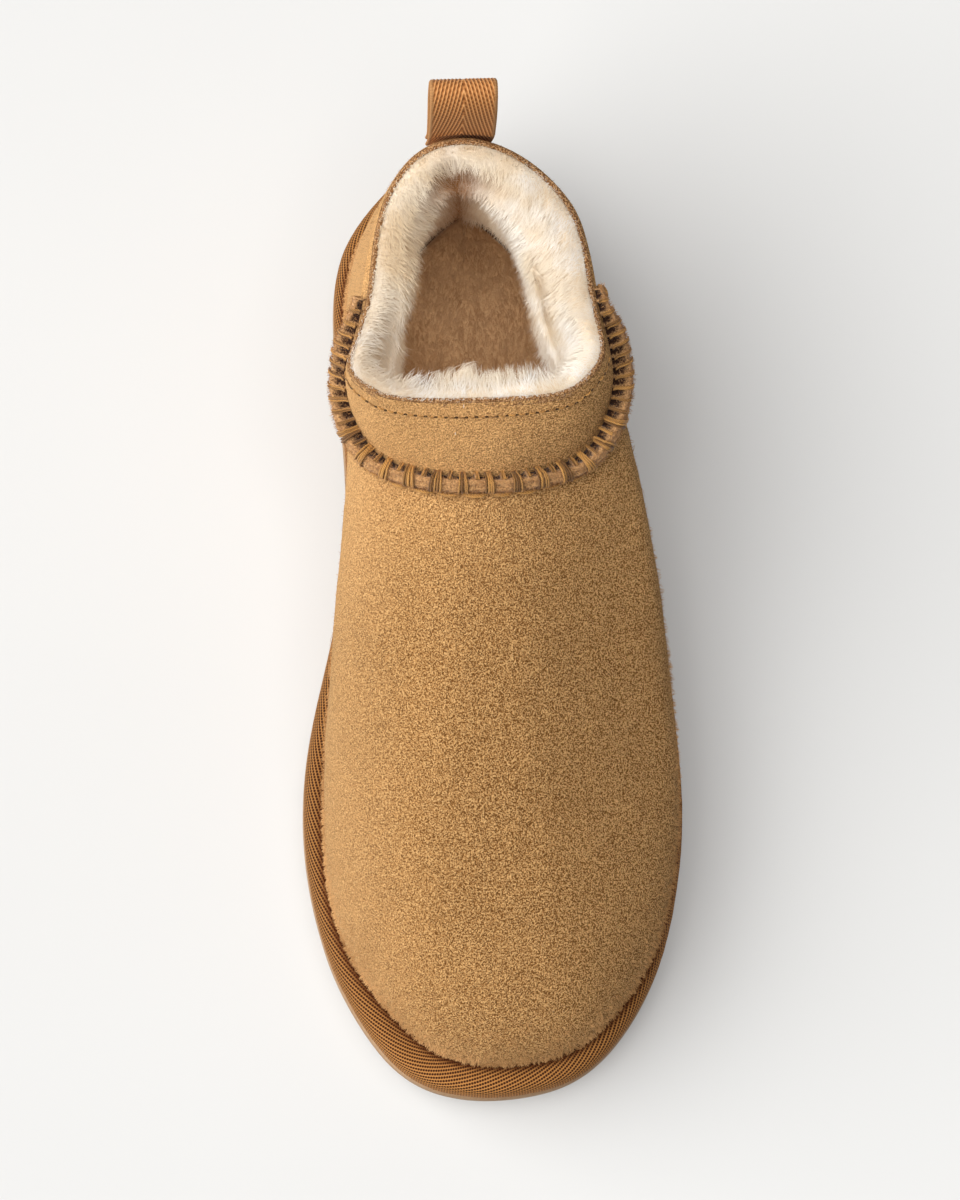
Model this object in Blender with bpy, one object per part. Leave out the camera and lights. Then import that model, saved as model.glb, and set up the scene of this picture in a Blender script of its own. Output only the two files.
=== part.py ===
"""Left shoe of a shearling slip-on slipper: an ankle-high suede upper with deep fleece,
a tape-wrapped midsole and a moulded outsole.

Frame: +Z up, toe towards -Y, heel towards +Y, lateral (outer) side towards +X.
The origin is at the bottom centre of the bounding box.
A "station" is a distance from the back of the heel towards the toe.
Tables and named sizes are in millimetres, and MM turns them into metres.
"""

from collections import namedtuple

import bmesh
import bpy
import numpy as np

MM = 0.001

# ---- driving dimensions, mm ----------------------------------------------------------
SOLE_LENGTH = 264.0
GAP = 0.3                   # clearance between neighbouring pieces

SIDES = 36                  # stations on each side of the foot
AROUND = 2 * SIDES          # points in a closed ring round the foot

HEEL_PLATFORM = 27.0        # height of the bound midsole's top under the heel
BALL_PLATFORM = 22.5        # and under the ball of the foot
PLATFORM_FALL = (60.0, 180.0)   # stations between which it comes down
BAND_HEIGHT = 11.0          # height of the tape-wrapped band
TOE_SPRING = 6.5            # lift of the toe tip off the floor
TOE_BREAK = 208.0           # station where the toe starts to lift
HEEL_BEVEL = 2.5            # lift of the heel's back edge
HEEL_BREAK = 15.0           # station where the heel bevel ends
ARCH_LIFT = 1.6             # lift of the sole between heel and forefoot
ARCH_SPAN = (72.0, 138.0)

FLEECE_ROLL = 2.6           # height of the fleece over the suede's top edge
PANEL_LEVELS = 12           # rings from the sole up to the seam line
BAND_LEVELS = 4             # rings from the seam line up to the rim
ROLL_LEVELS = 4             # rings over the fleece at the rim
BAND_BULGE = 0.04           # how far the collar band swells out, as a share of its width
COLLAR_CENTRE = (-0.5, 54.0)    # x and station of the collar's middle
INSOLE_THICK = 5.0

RIDGE_HALF = 2.1            # half the width of the raised seam
RIDGE_HEIGHT = 5.4
RIDGE_END_HEIGHT = 1.6
RIDGE_CROWN = 0.5           # how far its middle rises over its edges
RIDGE_RISE = 0.55           # angle round the foot, rad, over which it rises from its ends

LOOP_WIDTH = 18.0
LOOP_THICK = 1.5
LOOP_CENTRE = -2.8          # the loop sits slightly to the medial side
LOOP_COLUMNS = 5            # points across the webbing
LOOP_SAMPLES = 44           # points along it
HEEL_RADIUS = 40.0          # plan radius of the heel where the loop is stitched down

GROOVE_WIDTH = 3.0
GROOVE_DEPTH = 2.0
GROOVE_SWEEP = 5.0          # how far a groove's middle lies ahead of its ends
GROOVE_STATIONS = (24, 52, 62, 146, 160, 174, 196, 210, 224)

# Half widths of the sole from the foot's long axis, by station.
Outline = namedtuple("Outline", "station medial lateral")
SOLE_OUTLINE = (
    Outline(6.0, 16.4, 16.8),
    Outline(14.0, 24.8, 25.2),
    Outline(26.0, 33.0, 33.0),
    Outline(42.0, 36.2, 36.6),
    Outline(66.0, 35.4, 39.8),
    Outline(92.0, 34.2, 44.4),
    Outline(116.0, 35.6, 49.0),
    Outline(140.0, 40.8, 53.0),
    Outline(165.0, 46.8, 55.4),
    Outline(187.0, 48.8, 56.0),
    Outline(208.0, 46.8, 53.6),
    Outline(227.0, 41.8, 48.6),
    Outline(243.0, 35.0, 40.8),
    Outline(256.0, 25.0, 29.2),
    Outline(261.5, 15.6, 18.6),
)

# Sections round the last, from the back of the heel along the lateral side (+1) to the toe
# and back along the medial side (-1). station is where the section meets the sole, margin is
# the sole's edge left free beside the upper, and wall is the thickness of suede and fleece.
# out and rise aim the wall where it leaves the sole, run and drop aim it where it reaches
# the seam line. seam and rim are the x, station and height of the raised seam's root and of
# the suede's top edge. Behind the collar band the seam line runs just under the rim.
Section = namedtuple("Section", "side station margin wall out rise run drop seam rim")
SECTIONS = (
    Section(1, 0, 6.2, 12.5, 2, 25, 4, 28, (-3.0, 14.0, 109.5), (-3.8, 14.6, 112.0)),
    Section(1, 14, 6.4, 12.5, 1.2, 25, 3, 28, (15.2, 20.6, 108.7), (15.4, 21.2, 111.0)),
    Section(1, 40, 4.4, 12.0, 2.6, 26, 2.2, 26, (28.0, 36.2, 106.4), (27.8, 36.8, 108.8)),
    Section(1, 74, 3.8, 12.0, 5.5, 28, 4, 22, (32.6, 57.2, 103.0), (31.4, 56.0, 105.4)),
    Section(1, 112, 3.4, 11.0, 7, 30, 12, 20, (36.8, 73.6, 88.0), (33.8, 69.0, 103.5)),
    Section(1, 168, 3.2, 10.0, 5.5, 28, 32, 28, (34.0, 87.4, 79.5), (30.4, 77.4, 102.6)),
    Section(1, 218, 3.2, 9.5, 5.5, 27, 62, 30, (26.0, 96.4, 78.5), (22.4, 82.4, 102.0)),
    Section(1, 246, 5.6, 9.0, 7, 30, 86, 25, (13.8, 100.5, 81.6), (11.2, 83.6, 101.8)),
    Section(1, 264, 8.0, 9.0, 8, 33, 96, 19, (0.5, 101.6, 83.6), (-0.4, 83.8, 101.8)),
    Section(-1, 246, 8.8, 9.0, 7, 32, 88, 20, (-12.8, 100.3, 83.0), (-12.0, 83.6, 101.8)),
    Section(-1, 218, 6.2, 9.5, 5, 30, 64, 22, (-24.2, 96.0, 81.0), (-23.0, 82.4, 102.0)),
    Section(-1, 172, 6.6, 10.0, 4.8, 30, 34, 24, (-31.6, 87.2, 81.0), (-31.0, 78.8, 102.6)),
    Section(-1, 120, 3.4, 11.0, 6, 30, 13, 20, (-34.2, 74.4, 88.0), (-34.6, 71.6, 103.5)),
    Section(-1, 78, 3.4, 12.0, 5, 28, 5, 22, (-31.2, 58.2, 103.0), (-29.6, 57.0, 105.4)),
    Section(-1, 42, 3.8, 12.0, 2.6, 26, 2.6, 26, (-26.8, 36.8, 106.4), (-26.2, 37.4, 108.8)),
    Section(-1, 14, 6.4, 12.5, 1.2, 25, 3, 28, (-18.2, 20.9, 108.7), (-18.6, 21.7, 111.0)),
)
RIDGE_ENDS = (3, 13)        # the sections at which the raised seam starts and ends

# The folded webbing, from the end of the inner leg over the top to the end of the outer leg.
# back is the distance of the webbing's middle behind the heel at that height, or behind the
# rim above it. follow is how closely the webbing takes the heel's curve from side to side.
Fold = namedtuple("Fold", "back height follow")
LOOP_PATH = (
    Fold(1.3, 88.0, 1.0),
    Fold(1.3, 95.0, 1.0),
    Fold(1.3, 102.0, 1.0),
    Fold(1.5, 108.5, 1.0),
    Fold(1.8, 114.0, 0.8),
    Fold(2.0, 119.5, 0.5),
    Fold(2.5, 125.0, 0.3),
    Fold(3.5, 130.5, 0.1),
    Fold(5.5, 134.9, 0.0),
    Fold(7.9, 136.5, 0.0),
    Fold(10.1, 135.1, 0.0),
    Fold(11.1, 131.4, 0.0),
    Fold(11.1, 127.0, 0.2),
    Fold(10.3, 121.0, 0.4),
    Fold(8.0, 114.6, 0.7),
    Fold(5.0, 108.6, 1.0),
    Fold(3.1, 102.0, 1.0),
    Fold(3.1, 95.0, 1.0),
    Fold(3.1, 88.0, 1.0),
)

# Shapes of the sole's layers, from the bottom ring up.
Ring = namedtuple("Ring", "inset height")
OUTSOLE_PROFILE = (Ring(2.2, 0.0), Ring(0.9, 1.6), Ring(0.6, 4.0))     # above its underside
OUTSOLE_TOP_INSET = 0.5
BAND_PROFILE = (                # height as a share of BAND_HEIGHT
    Ring(0.9, 0.0),
    Ring(0.2, 0.12),
    Ring(0.0, 0.36),
    Ring(0.15, 0.6),
    Ring(0.8, 0.8),
    Ring(2.0, 0.94),
    Ring(3.9, 1.0),
)
INSOLE_PROFILE = (              # above the midsole
    Ring(1.0, GAP),
    Ring(0.0, 1.2),
    Ring(0.0, INSOLE_THICK - 1.4),
    Ring(1.4, INSOLE_THICK),
)

# Colour and roughness of each piece.
FINISHES = {
    "outsole": ((0.47, 0.30, 0.17), 0.75),
    "midsole": ((0.36, 0.17, 0.06), 0.85),
    "insole": ((0.27, 0.15, 0.07), 0.95),
    "upper": ((0.47, 0.27, 0.11), 0.9),
    "seam_ridge": ((0.40, 0.22, 0.10), 0.9),
    "pull_loop": ((0.36, 0.18, 0.07), 0.85),
}


# ---- curves ------------------------------------------------------------------------------
def spline(knots, values, samples, period=None):
    """Cubic spline through values at knots, natural at its ends or closed with a period."""
    knots = np.asarray(knots, float)
    values = np.asarray(values, float)
    if period is not None:
        knots = np.append(knots, knots[0] + period)
        values = np.append(values, values[0])
        samples = knots[0] + np.mod(np.asarray(samples, float) - knots[0], period)
    samples = np.asarray(samples, float)
    steps = np.diff(knots)
    slopes = np.diff(values) / steps
    count = len(knots)
    matrix = np.eye(count)
    right = np.zeros(count)
    for i in range(1, count - 1):
        matrix[i, i - 1:i + 2] = (steps[i - 1], 2 * (steps[i - 1] + steps[i]), steps[i])
        right[i] = 6 * (slopes[i] - slopes[i - 1])
    if period is not None:
        matrix[0, -1] = -1
        matrix[-1, :] = 0
        matrix[-1, 0] = 2 * (steps[-1] + steps[0])
        matrix[-1, 1] = steps[0]
        matrix[-1, -2] = steps[-1]
        right[-1] = 6 * (slopes[0] - slopes[-1])
    bends = np.linalg.solve(matrix, right)
    at = np.clip(np.searchsorted(knots, samples, side="right") - 1, 0, count - 2)
    step = steps[at]
    left = (knots[at + 1] - samples) / step
    rest = 1 - left
    curve = (left ** 3 - left) * bends[at] + (rest ** 3 - rest) * bends[at + 1]
    return left * values[at] + rest * values[at + 1] + curve * step ** 2 / 6


def smooth_step(value, low, high):
    share = np.clip((value - low) / (high - low), 0, 1)
    return share * share * (3 - 2 * share)


def angle_of(station):
    """Angle from the heel's back to a station, seen as on an ellipse: 0 to pi."""
    return np.arccos(1 - 2 * np.asarray(station, float) / SOLE_LENGTH)


def ring_angles(count=AROUND):
    """Angles round the foot: 0 at the heel's back, pi at the toe, lateral side first."""
    return np.arange(count) * 2 * np.pi / count


# ---- the sole's outline and heights ------------------------------------------------------
def sole_point(angles):
    """Plan points (x, station) on the sole's edge."""
    angles = np.mod(angles, 2 * np.pi)
    from_heel = np.minimum(angles, 2 * np.pi - angles)
    knots = [0.0] + [float(angle_of(row.station)) for row in SOLE_OUTLINE] + [np.pi]
    medial = spline(knots, [0] + [row.medial for row in SOLE_OUTLINE] + [0], from_heel)
    lateral = spline(knots, [0] + [row.lateral for row in SOLE_OUTLINE] + [0], from_heel)
    across = np.where(angles <= np.pi, lateral, -medial)
    station = SOLE_LENGTH * (1 - np.cos(from_heel)) / 2
    return np.stack([across, station], axis=-1)


def outward(angles):
    """Unit plan normals of the sole's edge, pointing out."""
    tiny = 1e-3
    along = sole_point(angles + tiny) - sole_point(angles - tiny)
    normal = np.stack([along[..., 1], -along[..., 0]], axis=-1)
    return normal / np.linalg.norm(normal, axis=-1, keepdims=True)


def inset_outline(angles, inset):
    """Plan points at a distance inside the sole's edge."""
    inset = np.broadcast_to(np.asarray(inset, float), np.shape(angles))
    return sole_point(angles) - outward(angles) * inset[..., None]


def floor_height(station):
    """Height of the outsole's underside: flat at heel and forefoot, lifted between."""
    station = np.asarray(station, float)
    toe = np.clip((station - TOE_BREAK) / (SOLE_LENGTH - TOE_BREAK), 0, None)
    heel = np.clip((HEEL_BREAK - station) / HEEL_BREAK, 0, None)
    arch = np.clip((station - ARCH_SPAN[0]) / (ARCH_SPAN[1] - ARCH_SPAN[0]), 0, 1)
    return TOE_SPRING * toe ** 2 + HEEL_BEVEL * heel ** 2 + ARCH_LIFT * np.sin(np.pi * arch) ** 2


def platform_height(station):
    """Height of the midsole's top, on which upper and insole stand."""
    station = np.asarray(station, float)
    fall = smooth_step(station, *PLATFORM_FALL)
    toe = np.clip((station - TOE_BREAK) / (SOLE_LENGTH - TOE_BREAK), 0, None)
    return HEEL_PLATFORM - (HEEL_PLATFORM - BALL_PLATFORM) * fall + TOE_SPRING * toe ** 2


# ---- the upper's surface -------------------------------------------------------------------
SECTION_ANGLES = [
    float(angle_of(row.station)) if row.side > 0 else float(2 * np.pi - angle_of(row.station))
    for row in SECTIONS
]


def column(name, angles, part=None):
    """One column of SECTIONS, smoothly interpolated round the foot."""
    values = [getattr(row, name) for row in SECTIONS]
    if part is not None:
        values = [value[part] for value in values]
    return spline(SECTION_ANGLES, values, angles, period=2 * np.pi)


def unit(vectors):
    return vectors / np.linalg.norm(vectors, axis=-1, keepdims=True)


def outer_point(angles, level):
    """Point (x, station, height) on the suede: level 0 at the sole, 1 at the seam, 2 at the rim."""
    angles, level = np.broadcast_arrays(np.asarray(angles, float), np.asarray(level, float))
    foot_plan = inset_outline(angles, column("margin", angles))
    foot_height = platform_height(foot_plan[..., 1]) + GAP
    foot = np.concatenate([foot_plan, foot_height[..., None]], axis=-1)
    seam = np.stack([column("seam", angles, part) for part in range(3)], axis=-1)
    rim = np.stack([column("rim", angles, part) for part in range(3)], axis=-1)

    normal = outward(angles)
    near_foot = foot.copy()
    near_foot[..., :2] += normal * column("out", angles)[..., None]
    near_foot[..., 2] += column("rise", angles)
    towards_foot = unit(foot[..., :2] - seam[..., :2])
    near_seam = seam.copy()
    near_seam[..., :2] += towards_foot * column("run", angles)[..., None]
    near_seam[..., 2] -= column("drop", angles)

    up = np.clip(level, 0, 1)[..., None]
    panel = (1 - up) ** 3 * foot + 3 * (1 - up) ** 2 * up * near_foot
    panel = panel + 3 * (1 - up) * up ** 2 * near_seam + up ** 3 * seam
    over = np.clip(level - 1, 0, 1)[..., None]
    band = seam + (rim - seam) * over
    swell = BAND_BULGE * np.linalg.norm(rim - seam, axis=-1, keepdims=True)
    band[..., :2] += unit(rim[..., :2] - COLLAR_CENTRE) * swell * np.sin(np.pi * over)
    return np.where(level[..., None] <= 1, panel, band)


def outer_normal(angles, level):
    """Unit normals (x, station, height) of the suede, pointing out."""
    tiny = 1e-3
    level = np.clip(level, tiny, 2 - tiny)
    along = outer_point(angles + tiny, level) - outer_point(angles - tiny, level)
    up = outer_point(angles, level + tiny) - outer_point(angles, level - tiny)
    return unit(np.cross(along, up))


def inner_point(angles, level):
    """Point on the fleece's inner side, a wall's thickness inside outer_point: square to the
    suede up to the seam line, turning to level and towards the collar's middle at the rim."""
    level = np.asarray(level, float)
    outer = outer_point(angles, level)
    inward = outer * (1, 1, 0) - (*COLLAR_CENTRE, 0)
    turn = smooth_step(level, 0.8, 2.0)[..., None]
    towards = unit(outer_normal(angles, level) * (1 - turn) + unit(inward) * turn)
    inner = outer - towards * column("wall", angles)[..., None]
    floor = platform_height(inner[..., 1]) + GAP
    inner[..., 2] = np.where(level <= 0, floor, inner[..., 2])
    return inner


def ridge_corners(angles):
    """The raised seam's cross sections: six points each, from its lower foot up and over."""
    tiny = 1e-3
    root = outer_point(angles, 1.0)
    panel_step = np.linalg.norm(root - outer_point(angles, 1 - tiny), axis=-1)
    band_step = np.linalg.norm(outer_point(angles, 1 + tiny) - root, axis=-1)
    low_level = 1 - RIDGE_HALF * tiny / panel_step
    high_level = 1 + np.minimum(RIDGE_HALF * tiny / band_step, 1)
    low_normal = outer_normal(angles, low_level)
    high_normal = outer_normal(angles, high_level)
    normal = unit(low_normal + high_normal)
    low = outer_point(angles, low_level) + low_normal * GAP
    middle = root + normal * GAP
    high = outer_point(angles, high_level) + high_normal * GAP
    from_end = np.minimum(angles - angles[0], angles[-1] - angles)
    rise = smooth_step(from_end, 0, RIDGE_RISE)
    height = (RIDGE_END_HEIGHT + (RIDGE_HEIGHT - RIDGE_END_HEIGHT) * rise)[:, None]
    crown = middle + normal * (height + RIDGE_CROWN)
    return np.stack([low, middle, high, high + normal * height, crown, low + normal * height], 1)


# ---- mesh building -------------------------------------------------------------------------
def to_world(points):
    """(x, station, height) in millimetres to (x, y, z) in metres."""
    points = np.asarray(points, float)
    return np.stack([points[..., 0], SOLE_LENGTH / 2 - points[..., 1], points[..., 2]], -1) * MM


def make_object(name, points, faces):
    """One closed body."""
    mesh = bpy.data.meshes.new(name)
    mesh.from_pydata([tuple(point) for point in to_world(points)], [], faces)
    shape = bmesh.new()
    shape.from_mesh(mesh)
    bmesh.ops.recalc_face_normals(shape, faces=shape.faces)
    shape.to_mesh(mesh)
    shape.free()
    mesh.shade_smooth()
    mesh.set_sharp_from_angle(angle=np.radians(40))
    thing = bpy.data.objects.new(name, mesh)
    bpy.context.scene.collection.objects.link(thing)
    return thing


def finish(thing):
    """Gives a piece a material of its own."""
    colour, roughness = FINISHES[thing.name]
    material = bpy.data.materials.new(thing.name)
    material.use_nodes = True
    shader = material.node_tree.nodes["Principled BSDF"]
    shader.inputs["Base Color"].default_value = (*colour, 1.0)
    shader.inputs["Roughness"].default_value = roughness
    shader.inputs["Metallic"].default_value = 0.0
    thing.data.materials.append(material)


def grid_faces(rows, columns, wrap_rows=False, wrap_columns=False):
    """Quads between neighbouring rows and columns of points."""
    faces = []
    for row in range(rows if wrap_rows else rows - 1):
        below = row * columns
        above = (row + 1) % rows * columns
        for here in range(columns if wrap_columns else columns - 1):
            there = (here + 1) % columns
            faces.append((below + here, below + there, above + there, above + here))
    return faces


def strip_cap(first):
    """Strips across a closed ring, joining points at equal stations on its two sides."""
    faces = [(first, first + 1, first + AROUND - 1)]
    for here in range(1, SIDES - 1):
        there = AROUND - here
        faces.append((first + here, first + here + 1, first + there - 1, first + there))
    faces.append((first + SIDES - 1, first + SIDES, first + SIDES + 1))
    return faces


def stacked_rings(name, rings):
    """A solid of closed rings from bottom to top, with strips across both ends."""
    faces = grid_faces(len(rings), AROUND, wrap_columns=True)
    faces += strip_cap(0) + strip_cap((len(rings) - 1) * AROUND)
    return make_object(name, np.concatenate(rings), faces)


def edge_ring(inset, height):
    """A ring inside the sole's edge, its height a function of the station."""
    plan = inset_outline(ring_angles(), inset)
    return np.concatenate([plan, height(plan[..., 1])[..., None]], axis=-1)


# ---- the pieces ----------------------------------------------------------------------------
def band_height(station, share):
    """Height of the tape-wrapped band at a share of the way up it."""
    return platform_height(station) - BAND_HEIGHT * (1 - share)


def make_outsole():
    rings = [
        edge_ring(row.inset, lambda station, rise=row.height: floor_height(station) + rise)
        for row in OUTSOLE_PROFILE
    ]
    rings.append(edge_ring(OUTSOLE_TOP_INSET, lambda station: band_height(station, 0) - GAP))
    outsole = stacked_rings("outsole", rings)
    grooves = make_groove_cutter()
    cut = outsole.modifiers.new("grooves", "BOOLEAN")
    cut.operation = "DIFFERENCE"
    cut.solver = "EXACT"
    cut.object = grooves
    return outsole


def make_groove_cutter():
    """Swept grooves across the tread, wider than the sole, as one cutter."""
    reach = 70.0
    below = -5.0
    points = []
    faces = []
    for station in GROOVE_STATIONS:
        first = len(points)
        for height in (below, float(floor_height(station)) + GROOVE_DEPTH):
            for side in (-0.5, 0.5):
                for across in (-1, 0, 1):
                    along = station + side * GROOVE_WIDTH + GROOVE_SWEEP * (1 - abs(across))
                    points.append((across * reach, along, height))
        bottom = [(0, 1, 4, 3), (1, 2, 5, 4)]
        top = [(6, 7, 10, 9), (7, 8, 11, 10)]
        sides = [(0, 1, 7, 6), (1, 2, 8, 7), (3, 4, 10, 9), (4, 5, 11, 10)]
        ends = [(0, 3, 9, 6), (2, 5, 11, 8)]
        faces += [tuple(first + corner for corner in face) for face in bottom + top + sides + ends]
    cutter = make_object("groove_cutter", points, faces)
    cutter.hide_render = True
    cutter.display_type = "WIRE"
    return cutter


def make_midsole():
    """The tape-wrapped band and the foam inside it, as one solid."""
    rings = [
        edge_ring(row.inset, lambda station, share=row.height: band_height(station, share))
        for row in BAND_PROFILE
    ]
    return stacked_rings("midsole", rings)


def make_insole():
    edge = column("margin", ring_angles()) + column("wall", ring_angles()) + 2 * GAP
    rings = [
        edge_ring(edge + row.inset, lambda station, rise=row.height: platform_height(station) + rise)
        for row in INSOLE_PROFILE
    ]
    return stacked_rings("insole", rings)


def make_upper():
    """Suede and fleece as one wall: up the outside, over the rim and down the inside."""
    angles = ring_angles()
    panel = np.linspace(0, 1, PANEL_LEVELS + 1)
    band = np.linspace(1, 2, BAND_LEVELS + 1)[1:]
    levels = np.concatenate([panel, band])
    rings = [outer_point(angles, level) for level in levels]
    outer_rim = rings[-1]
    inner_rim = inner_point(angles, 2.0)
    for share in np.linspace(0, 1, ROLL_LEVELS + 1)[1:-1]:
        over = outer_rim + (inner_rim - outer_rim) * share
        over[:, 2] += FLEECE_ROLL * np.sin(np.pi * share)
        rings.append(over)
    rings += [inner_point(angles, level) for level in levels[::-1]]
    faces = grid_faces(len(rings), AROUND, wrap_rows=True, wrap_columns=True)
    return make_object("upper", np.concatenate(rings), faces)


def make_seam_ridge():
    """The raised seam: a strip on edge along the seam line, from side to side round the front."""
    first, last = (SECTION_ANGLES[end] for end in RIDGE_ENDS)
    angles = np.array([angle for angle in ring_angles() if first <= angle <= last])
    corners = ridge_corners(angles)
    rows, sides, _ = corners.shape
    faces = grid_faces(rows, sides, wrap_columns=True)
    faces.append(tuple(range(sides)))
    faces.append(tuple(range((rows - 1) * sides, rows * sides)))
    return make_object("seam_ridge", corners.reshape(-1, 3), faces)


def make_pull_loop():
    """Folded webbing: a strip of constant thickness along LOOP_PATH."""
    heel = outer_point(np.zeros(60), np.linspace(0, 2, 60))
    knots = np.arange(len(LOOP_PATH), dtype=float)
    samples = np.linspace(0, knots[-1], LOOP_SAMPLES)
    back = spline(knots, [fold.back for fold in LOOP_PATH], samples)
    height = spline(knots, [fold.height for fold in LOOP_PATH], samples)
    follow = np.interp(samples, knots, [fold.follow for fold in LOOP_PATH])
    station = np.interp(height, heel[:, 2], heel[:, 1]) - back
    path = np.stack([station, height], axis=-1)
    along = unit(np.gradient(path, axis=0))
    side = np.stack([-along[:, 1], along[:, 0]], axis=-1) * LOOP_THICK / 2
    across = np.linspace(-LOOP_WIDTH / 2, LOOP_WIDTH / 2, LOOP_COLUMNS)
    sag = HEEL_RADIUS - np.sqrt(HEEL_RADIUS ** 2 - across ** 2)
    rows = []
    for middle, offset, share in zip(path, side, follow):
        for face, order in ((1, 1), (-1, -1)):
            for step, drop in list(zip(across, sag))[::order]:
                plan = middle + face * offset
                rows.append((LOOP_CENTRE + step, plan[0] + share * drop, plan[1]))
    sides = 2 * LOOP_COLUMNS
    faces = grid_faces(LOOP_SAMPLES, sides, wrap_columns=True)
    faces.append(tuple(range(sides)))
    faces.append(tuple(range(len(rows) - sides, len(rows))))
    return make_object("pull_loop", rows, faces)


def box_middle(pieces):
    """x and y of the middle of the pieces' common box."""
    points = np.concatenate([[vertex.co[:] for vertex in thing.data.vertices] for thing in pieces])
    middle = (points.min(axis=0) + points.max(axis=0)) / 2
    return middle[:2]


def build():
    for thing in list(bpy.data.objects):
        bpy.data.objects.remove(thing)
    pieces = [
        make_outsole(),
        make_midsole(),
        make_insole(),
        make_upper(),
        make_seam_ridge(),
        make_pull_loop(),
    ]
    for thing in pieces:
        finish(thing)
    across, along = box_middle(pieces)
    for thing in bpy.data.objects:
        thing.location.x -= across
        thing.location.y -= along


build()
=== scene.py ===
"""Looks of the left shearling slipper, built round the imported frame.

Frame: +Z up, toe towards -Y, heel towards +Y, lateral (outer) side towards +X.
The shoe's own coordinates are x, station and height in millimetres: a station is a distance
from the back of the heel towards the toe. to_world turns them into the frame's metres.
Angles run round the foot: 0 at the heel's back, pi at the toe, lateral side first.
"""

from collections import namedtuple

import bpy
from mathutils import Matrix, Vector, noise
from mathutils.kdtree import KDTree
import numpy as np


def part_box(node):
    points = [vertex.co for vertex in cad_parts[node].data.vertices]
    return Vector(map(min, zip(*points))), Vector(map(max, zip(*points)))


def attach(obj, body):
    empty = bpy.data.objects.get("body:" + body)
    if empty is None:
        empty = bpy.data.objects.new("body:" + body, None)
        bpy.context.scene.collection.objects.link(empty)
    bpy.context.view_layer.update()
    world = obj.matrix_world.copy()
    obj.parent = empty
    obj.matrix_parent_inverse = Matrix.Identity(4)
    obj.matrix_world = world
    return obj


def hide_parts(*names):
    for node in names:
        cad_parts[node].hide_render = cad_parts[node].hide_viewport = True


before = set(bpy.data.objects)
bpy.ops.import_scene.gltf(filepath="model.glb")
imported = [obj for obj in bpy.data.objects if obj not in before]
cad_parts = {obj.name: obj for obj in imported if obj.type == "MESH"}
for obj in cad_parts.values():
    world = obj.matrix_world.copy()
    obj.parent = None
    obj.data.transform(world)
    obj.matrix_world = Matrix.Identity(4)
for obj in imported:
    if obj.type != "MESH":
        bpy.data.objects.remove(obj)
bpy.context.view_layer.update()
MM = 0.001
PI = np.pi
TURN = 2 * np.pi
RANDOM_SEED = 7

# ---- the last: the same sections as the CAD model's, placed by the frame ----
SOLE_LOW, SOLE_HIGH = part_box("midsole")
SOLE_LENGTH = round((SOLE_HIGH.y - SOLE_LOW.y) / MM, 3)
HEEL_PLATFORM = 27.0        # height of the bound midsole's top under the heel
BALL_PLATFORM = 22.5        # and under the ball of the foot
PLATFORM_FALL = (60.0, 180.0)
BAND_HEIGHT = 11.0          # height of the tape-wrapped band
TOE_SPRING = 6.5
TOE_BREAK = 208.0
HEEL_BEVEL = 2.5
HEEL_BREAK = 15.0
ARCH_LIFT = 1.6
ARCH_SPAN = (72.0, 138.0)
BAND_BULGE = 0.04
COLLAR_CENTRE = (-0.5, 54.0)
LEATHER = 1.5               # thickness of the suede

Outline = namedtuple("Outline", "station medial lateral")
SOLE_OUTLINE = [Outline(*row) for row in (
    (6.0, 16.4, 16.8), (14.0, 24.8, 25.2), (26.0, 33.0, 33.0), (42.0, 36.2, 36.6),
    (66.0, 35.4, 39.8), (92.0, 34.2, 44.4), (116.0, 35.6, 49.0), (140.0, 40.8, 53.0),
    (165.0, 46.8, 55.4), (187.0, 48.8, 56.0), (208.0, 46.8, 53.6), (227.0, 41.8, 48.6),
    (243.0, 35.0, 40.8), (256.0, 25.0, 29.2), (261.5, 15.6, 18.6),
)]
AXIS_X = SOLE_HIGH.x - max(row.lateral for row in SOLE_OUTLINE) * MM    # the foot's long axis
HEEL_Y = SOLE_HIGH.y                                                    # station 0

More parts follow.
